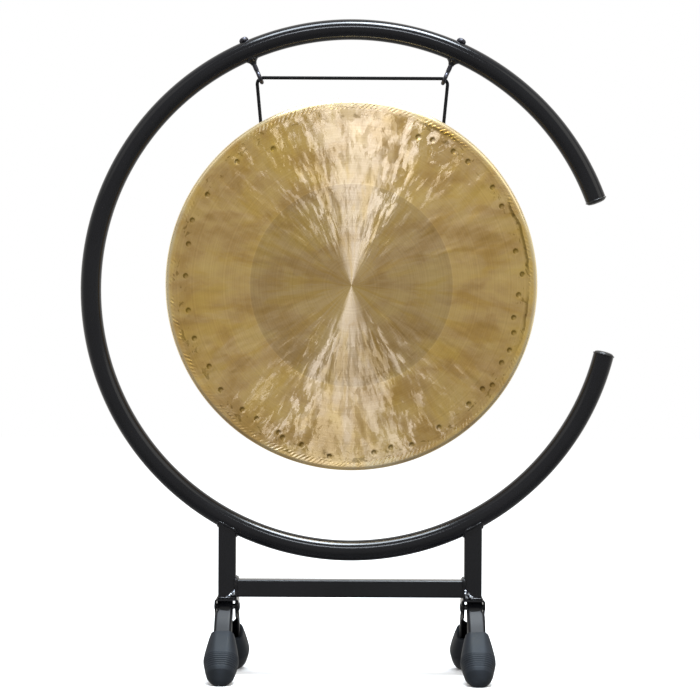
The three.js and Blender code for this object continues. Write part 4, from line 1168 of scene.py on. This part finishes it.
def turnedBronze():
    finish = {"Metallic": 1.0, "Roughness": 0.26, "Anisotropic": 0.4}
    material, tree, shader = newMaterial("turnedBronze", finish)
    face = GongFace(tree)
    radius, disc = face.radius, patina["disc"]
    rings = addNode(tree, "ShaderNodeTexNoise", {"W": radius, "Scale": 1 / patina["ring"], "Detail": 3.0},
                    noise_dimensions="1D").outputs["Fac"]
    blend, tone = oldSkin(face)
    rimPaintedSheen, dirt = rimPaintedSheenAndDirt(face)
    # the skin is shaded by the middle disc, a bright turned line round it, rings, punch marks with their
    # painted shade, the rim's painted reflection, and dirt
    within = face.ramp(radius, disc - 0.6, disc + 0.5, 0.84, 1.0)
    line = face.times(face.rises(radius, disc - 0.8, disc), face.falls(radius, disc, disc + 1))
    scored = face.number("MULTIPLY_ADD", line, 0.14, 1.0)
    lines = face.ramp(rings, 0.3, 0.7, 0.94, 1.04, "LINEAR")
    punched = addNode(tree, "ShaderNodeAttribute", attribute_name="punched").outputs["Fac"]
    # the marks are painted darker in their middles, with painted shade round the side of each away from the
    # light
    marked = face.ramp(punched, 0.1, 0.9, 1.0, 0.38)
    shade = face.times(face.times(within, scored), face.times(lines, marked), face.times(rimPaintedSheen, dirt))
    # the lip is mixed towards pale yellow, a painted reflection on the rim's bend
    colour = face.scaled(mixColours(tree, rimLipPaintedSheen(face), tone, "#f8eecb"), shade)
    # long patches of tarnish dull the scratched metal towards the brown of the face
    bright = face.times(face.ramp(face.polar(patina["tarnish"], 3.0, 61.0), 0.36, 0.56, 0.3, 1.0),
                        face.ramp(blend, 0.36, 0.5, 0.45, 1.0))
    scratched = face.scaled(mixColours(tree, bright, "#ecd0a4", "#fcead9"), shade)
    tangent = addNode(tree, "ShaderNodeTangent", direction_type="UV_MAP", uv_map="surface").outputs["Tangent"]
    turned = {"Height": rings, "Strength": 0.12, "Distance": 0.2 * mm}
    turning = addNode(tree, "ShaderNodeBump", turned).outputs["Normal"]
    cut = {"Height": chasedCuts(face), "Strength": 1.0, "Distance": patina["cutDepth"] * mm}
    chiselled, even = (addNode(tree, "ShaderNodeBump", {**cut, "Normal": under}).outputs["Normal"]
                       for under in (hammering(face, turning, tangent), turning))
    rough = {"Metallic": 1.0, "Roughness": 0.44, "Anisotropic": 1.0, "Base Color": scratched,
             "Normal": chiselled, "Tangent": tangent}
    fresh = addNode(tree, "ShaderNodeBsdfPrincipled", rough).outputs["BSDF"]
    for name, value in (("Base Color", colour), ("Normal", even), ("Tangent", tangent)):
        tree.links.new(value, shader.inputs[name])
    bare = face.times(face.ramp(dirt, 0.4, 1.0, 0.62, 1.0, "LINEAR"), face.ramp(marked, 0.4, 1.0, 0.5, 1.0),
                      patina["fresh"], face.ramp(radius, disc - 0.6, disc + 0.5, 1.14, 1.0))
    both = addNode(tree, "ShaderNodeMixShader", {0: bare, 1: shader.outputs["BSDF"], 2: fresh})
    tree.links.new(both.outputs["Shader"], tree.nodes["Material Output"].inputs["Surface"])
    return material


bronze = turnedBronze()
makeGong()
print("gong made")

# Studio: plain pale floor, a white backdrop that only the camera and the floor see at full strength, a long
# soft light overhead with a second one right of its middle, a weak one in front and a faint one at each side

studio = {"floor": 12, "floorColour": "#f6f6f6", "background": 1.0, "onFloor": 1.1, "before": 0.5,
          "behind": 1.0, "below": 0.42, "wall": "#fcfaf5", "aim": (0, 0, 0.4)}
floorMesh = bpy.data.meshes.new("floor")
reach = studio["floor"] / 2
floorMesh.from_pydata([(-reach, -reach, 0), (reach, -reach, 0), (reach, reach, 0), (-reach, reach, 0)], [],
                      [(0, 1, 2, 3)])
floorMesh.materials.append(newMaterial("paintedFloor", {"Base Color": hexColour(studio["floorColour"]),
                                                        "Roughness": 0.9, "Specular IOR Level": 0.0})[0])
floor = bpy.data.objects.new("floor", floorMesh)
scene.collection.objects.link(floor)
floor.visible_glossy = False

world = bpy.data.worlds.new("studio")
scene.world = world
world.use_nodes = True
world.cycles.sampling_method = "NONE"
sky = world.node_tree
sky.nodes.clear()
rays = addNode(sky, "ShaderNodeLightPath").outputs
looking = addNode(sky, "ShaderNodeTexCoord").outputs["Generated"]
direction = addNode(sky, "ShaderNodeSeparateXYZ", {"Vector": looking}).outputs
depthLight = ramp(sky, direction["Y"], -0.5, 0.6, studio["before"], studio["behind"])
heightLight = ramp(sky, direction["Z"], -0.65, -0.2, studio["below"], 1.0, "LINEAR")
mirrored = addNode(sky, "ShaderNodeMath", {0: depthLight, 1: heightLight}, operation="MULTIPLY")
strength = mirrored.outputs["Value"]
for ray, level in (("Is Diffuse Ray", studio["onFloor"]), ("Is Camera Ray", studio["background"])):
    mixed = addNode(sky, "ShaderNodeMix", {"Factor": rays[ray], "A": strength, "B": level})
    strength = mixed.outputs["Result"]
tint = mixColours(sky, rays["Is Glossy Ray"], "#ffffff", studio["wall"])
backdrop = addNode(sky, "ShaderNodeBackground", {"Strength": strength, "Color": tint})
addNode(sky, "ShaderNodeOutputWorld", {"Surface": backdrop.outputs["Background"]})

lights = {
    # place, size (across, deep), power, colour
    "overhead": ((0.05, -0.5, 2.6), (1.75, 0.64), 98, (0.82, 0.91, 1.0)),
    "overheadMiddle": ((0.38, -0.5, 2.55), (0.8, 0.72), 54, (0.84, 0.92, 1.0)),
    "front": ((0.05, -2.6, 2.0), (1.0, 0.36), 21, (0.86, 0.92, 1.0)),
    "sideLeft": ((-2.1, -1.4, 2.2), (1.6, 1.6), 5, (1.0, 0.96, 0.9)),
    "sideRight": ((2.1, -1.4, 2.0), (1.8, 1.8), 13, (1.0, 0.98, 0.9)),
}
for name, (spot, size, power, colour) in lights.items():
    lamp = bpy.data.lights.new(name, "AREA")
    lamp.shape = "RECTANGLE"
    lamp.size, lamp.size_y = size
    lamp.energy = power
    lamp.color = colour
    lampObject = bpy.data.objects.new(name, lamp)
    lampObject.location = spot
    lampObject.rotation_euler = (Vector(studio["aim"]) - Vector(spot)).to_track_quat("-Z", "Y").to_euler()
    scene.collection.objects.link(lampObject)
print("studio made")
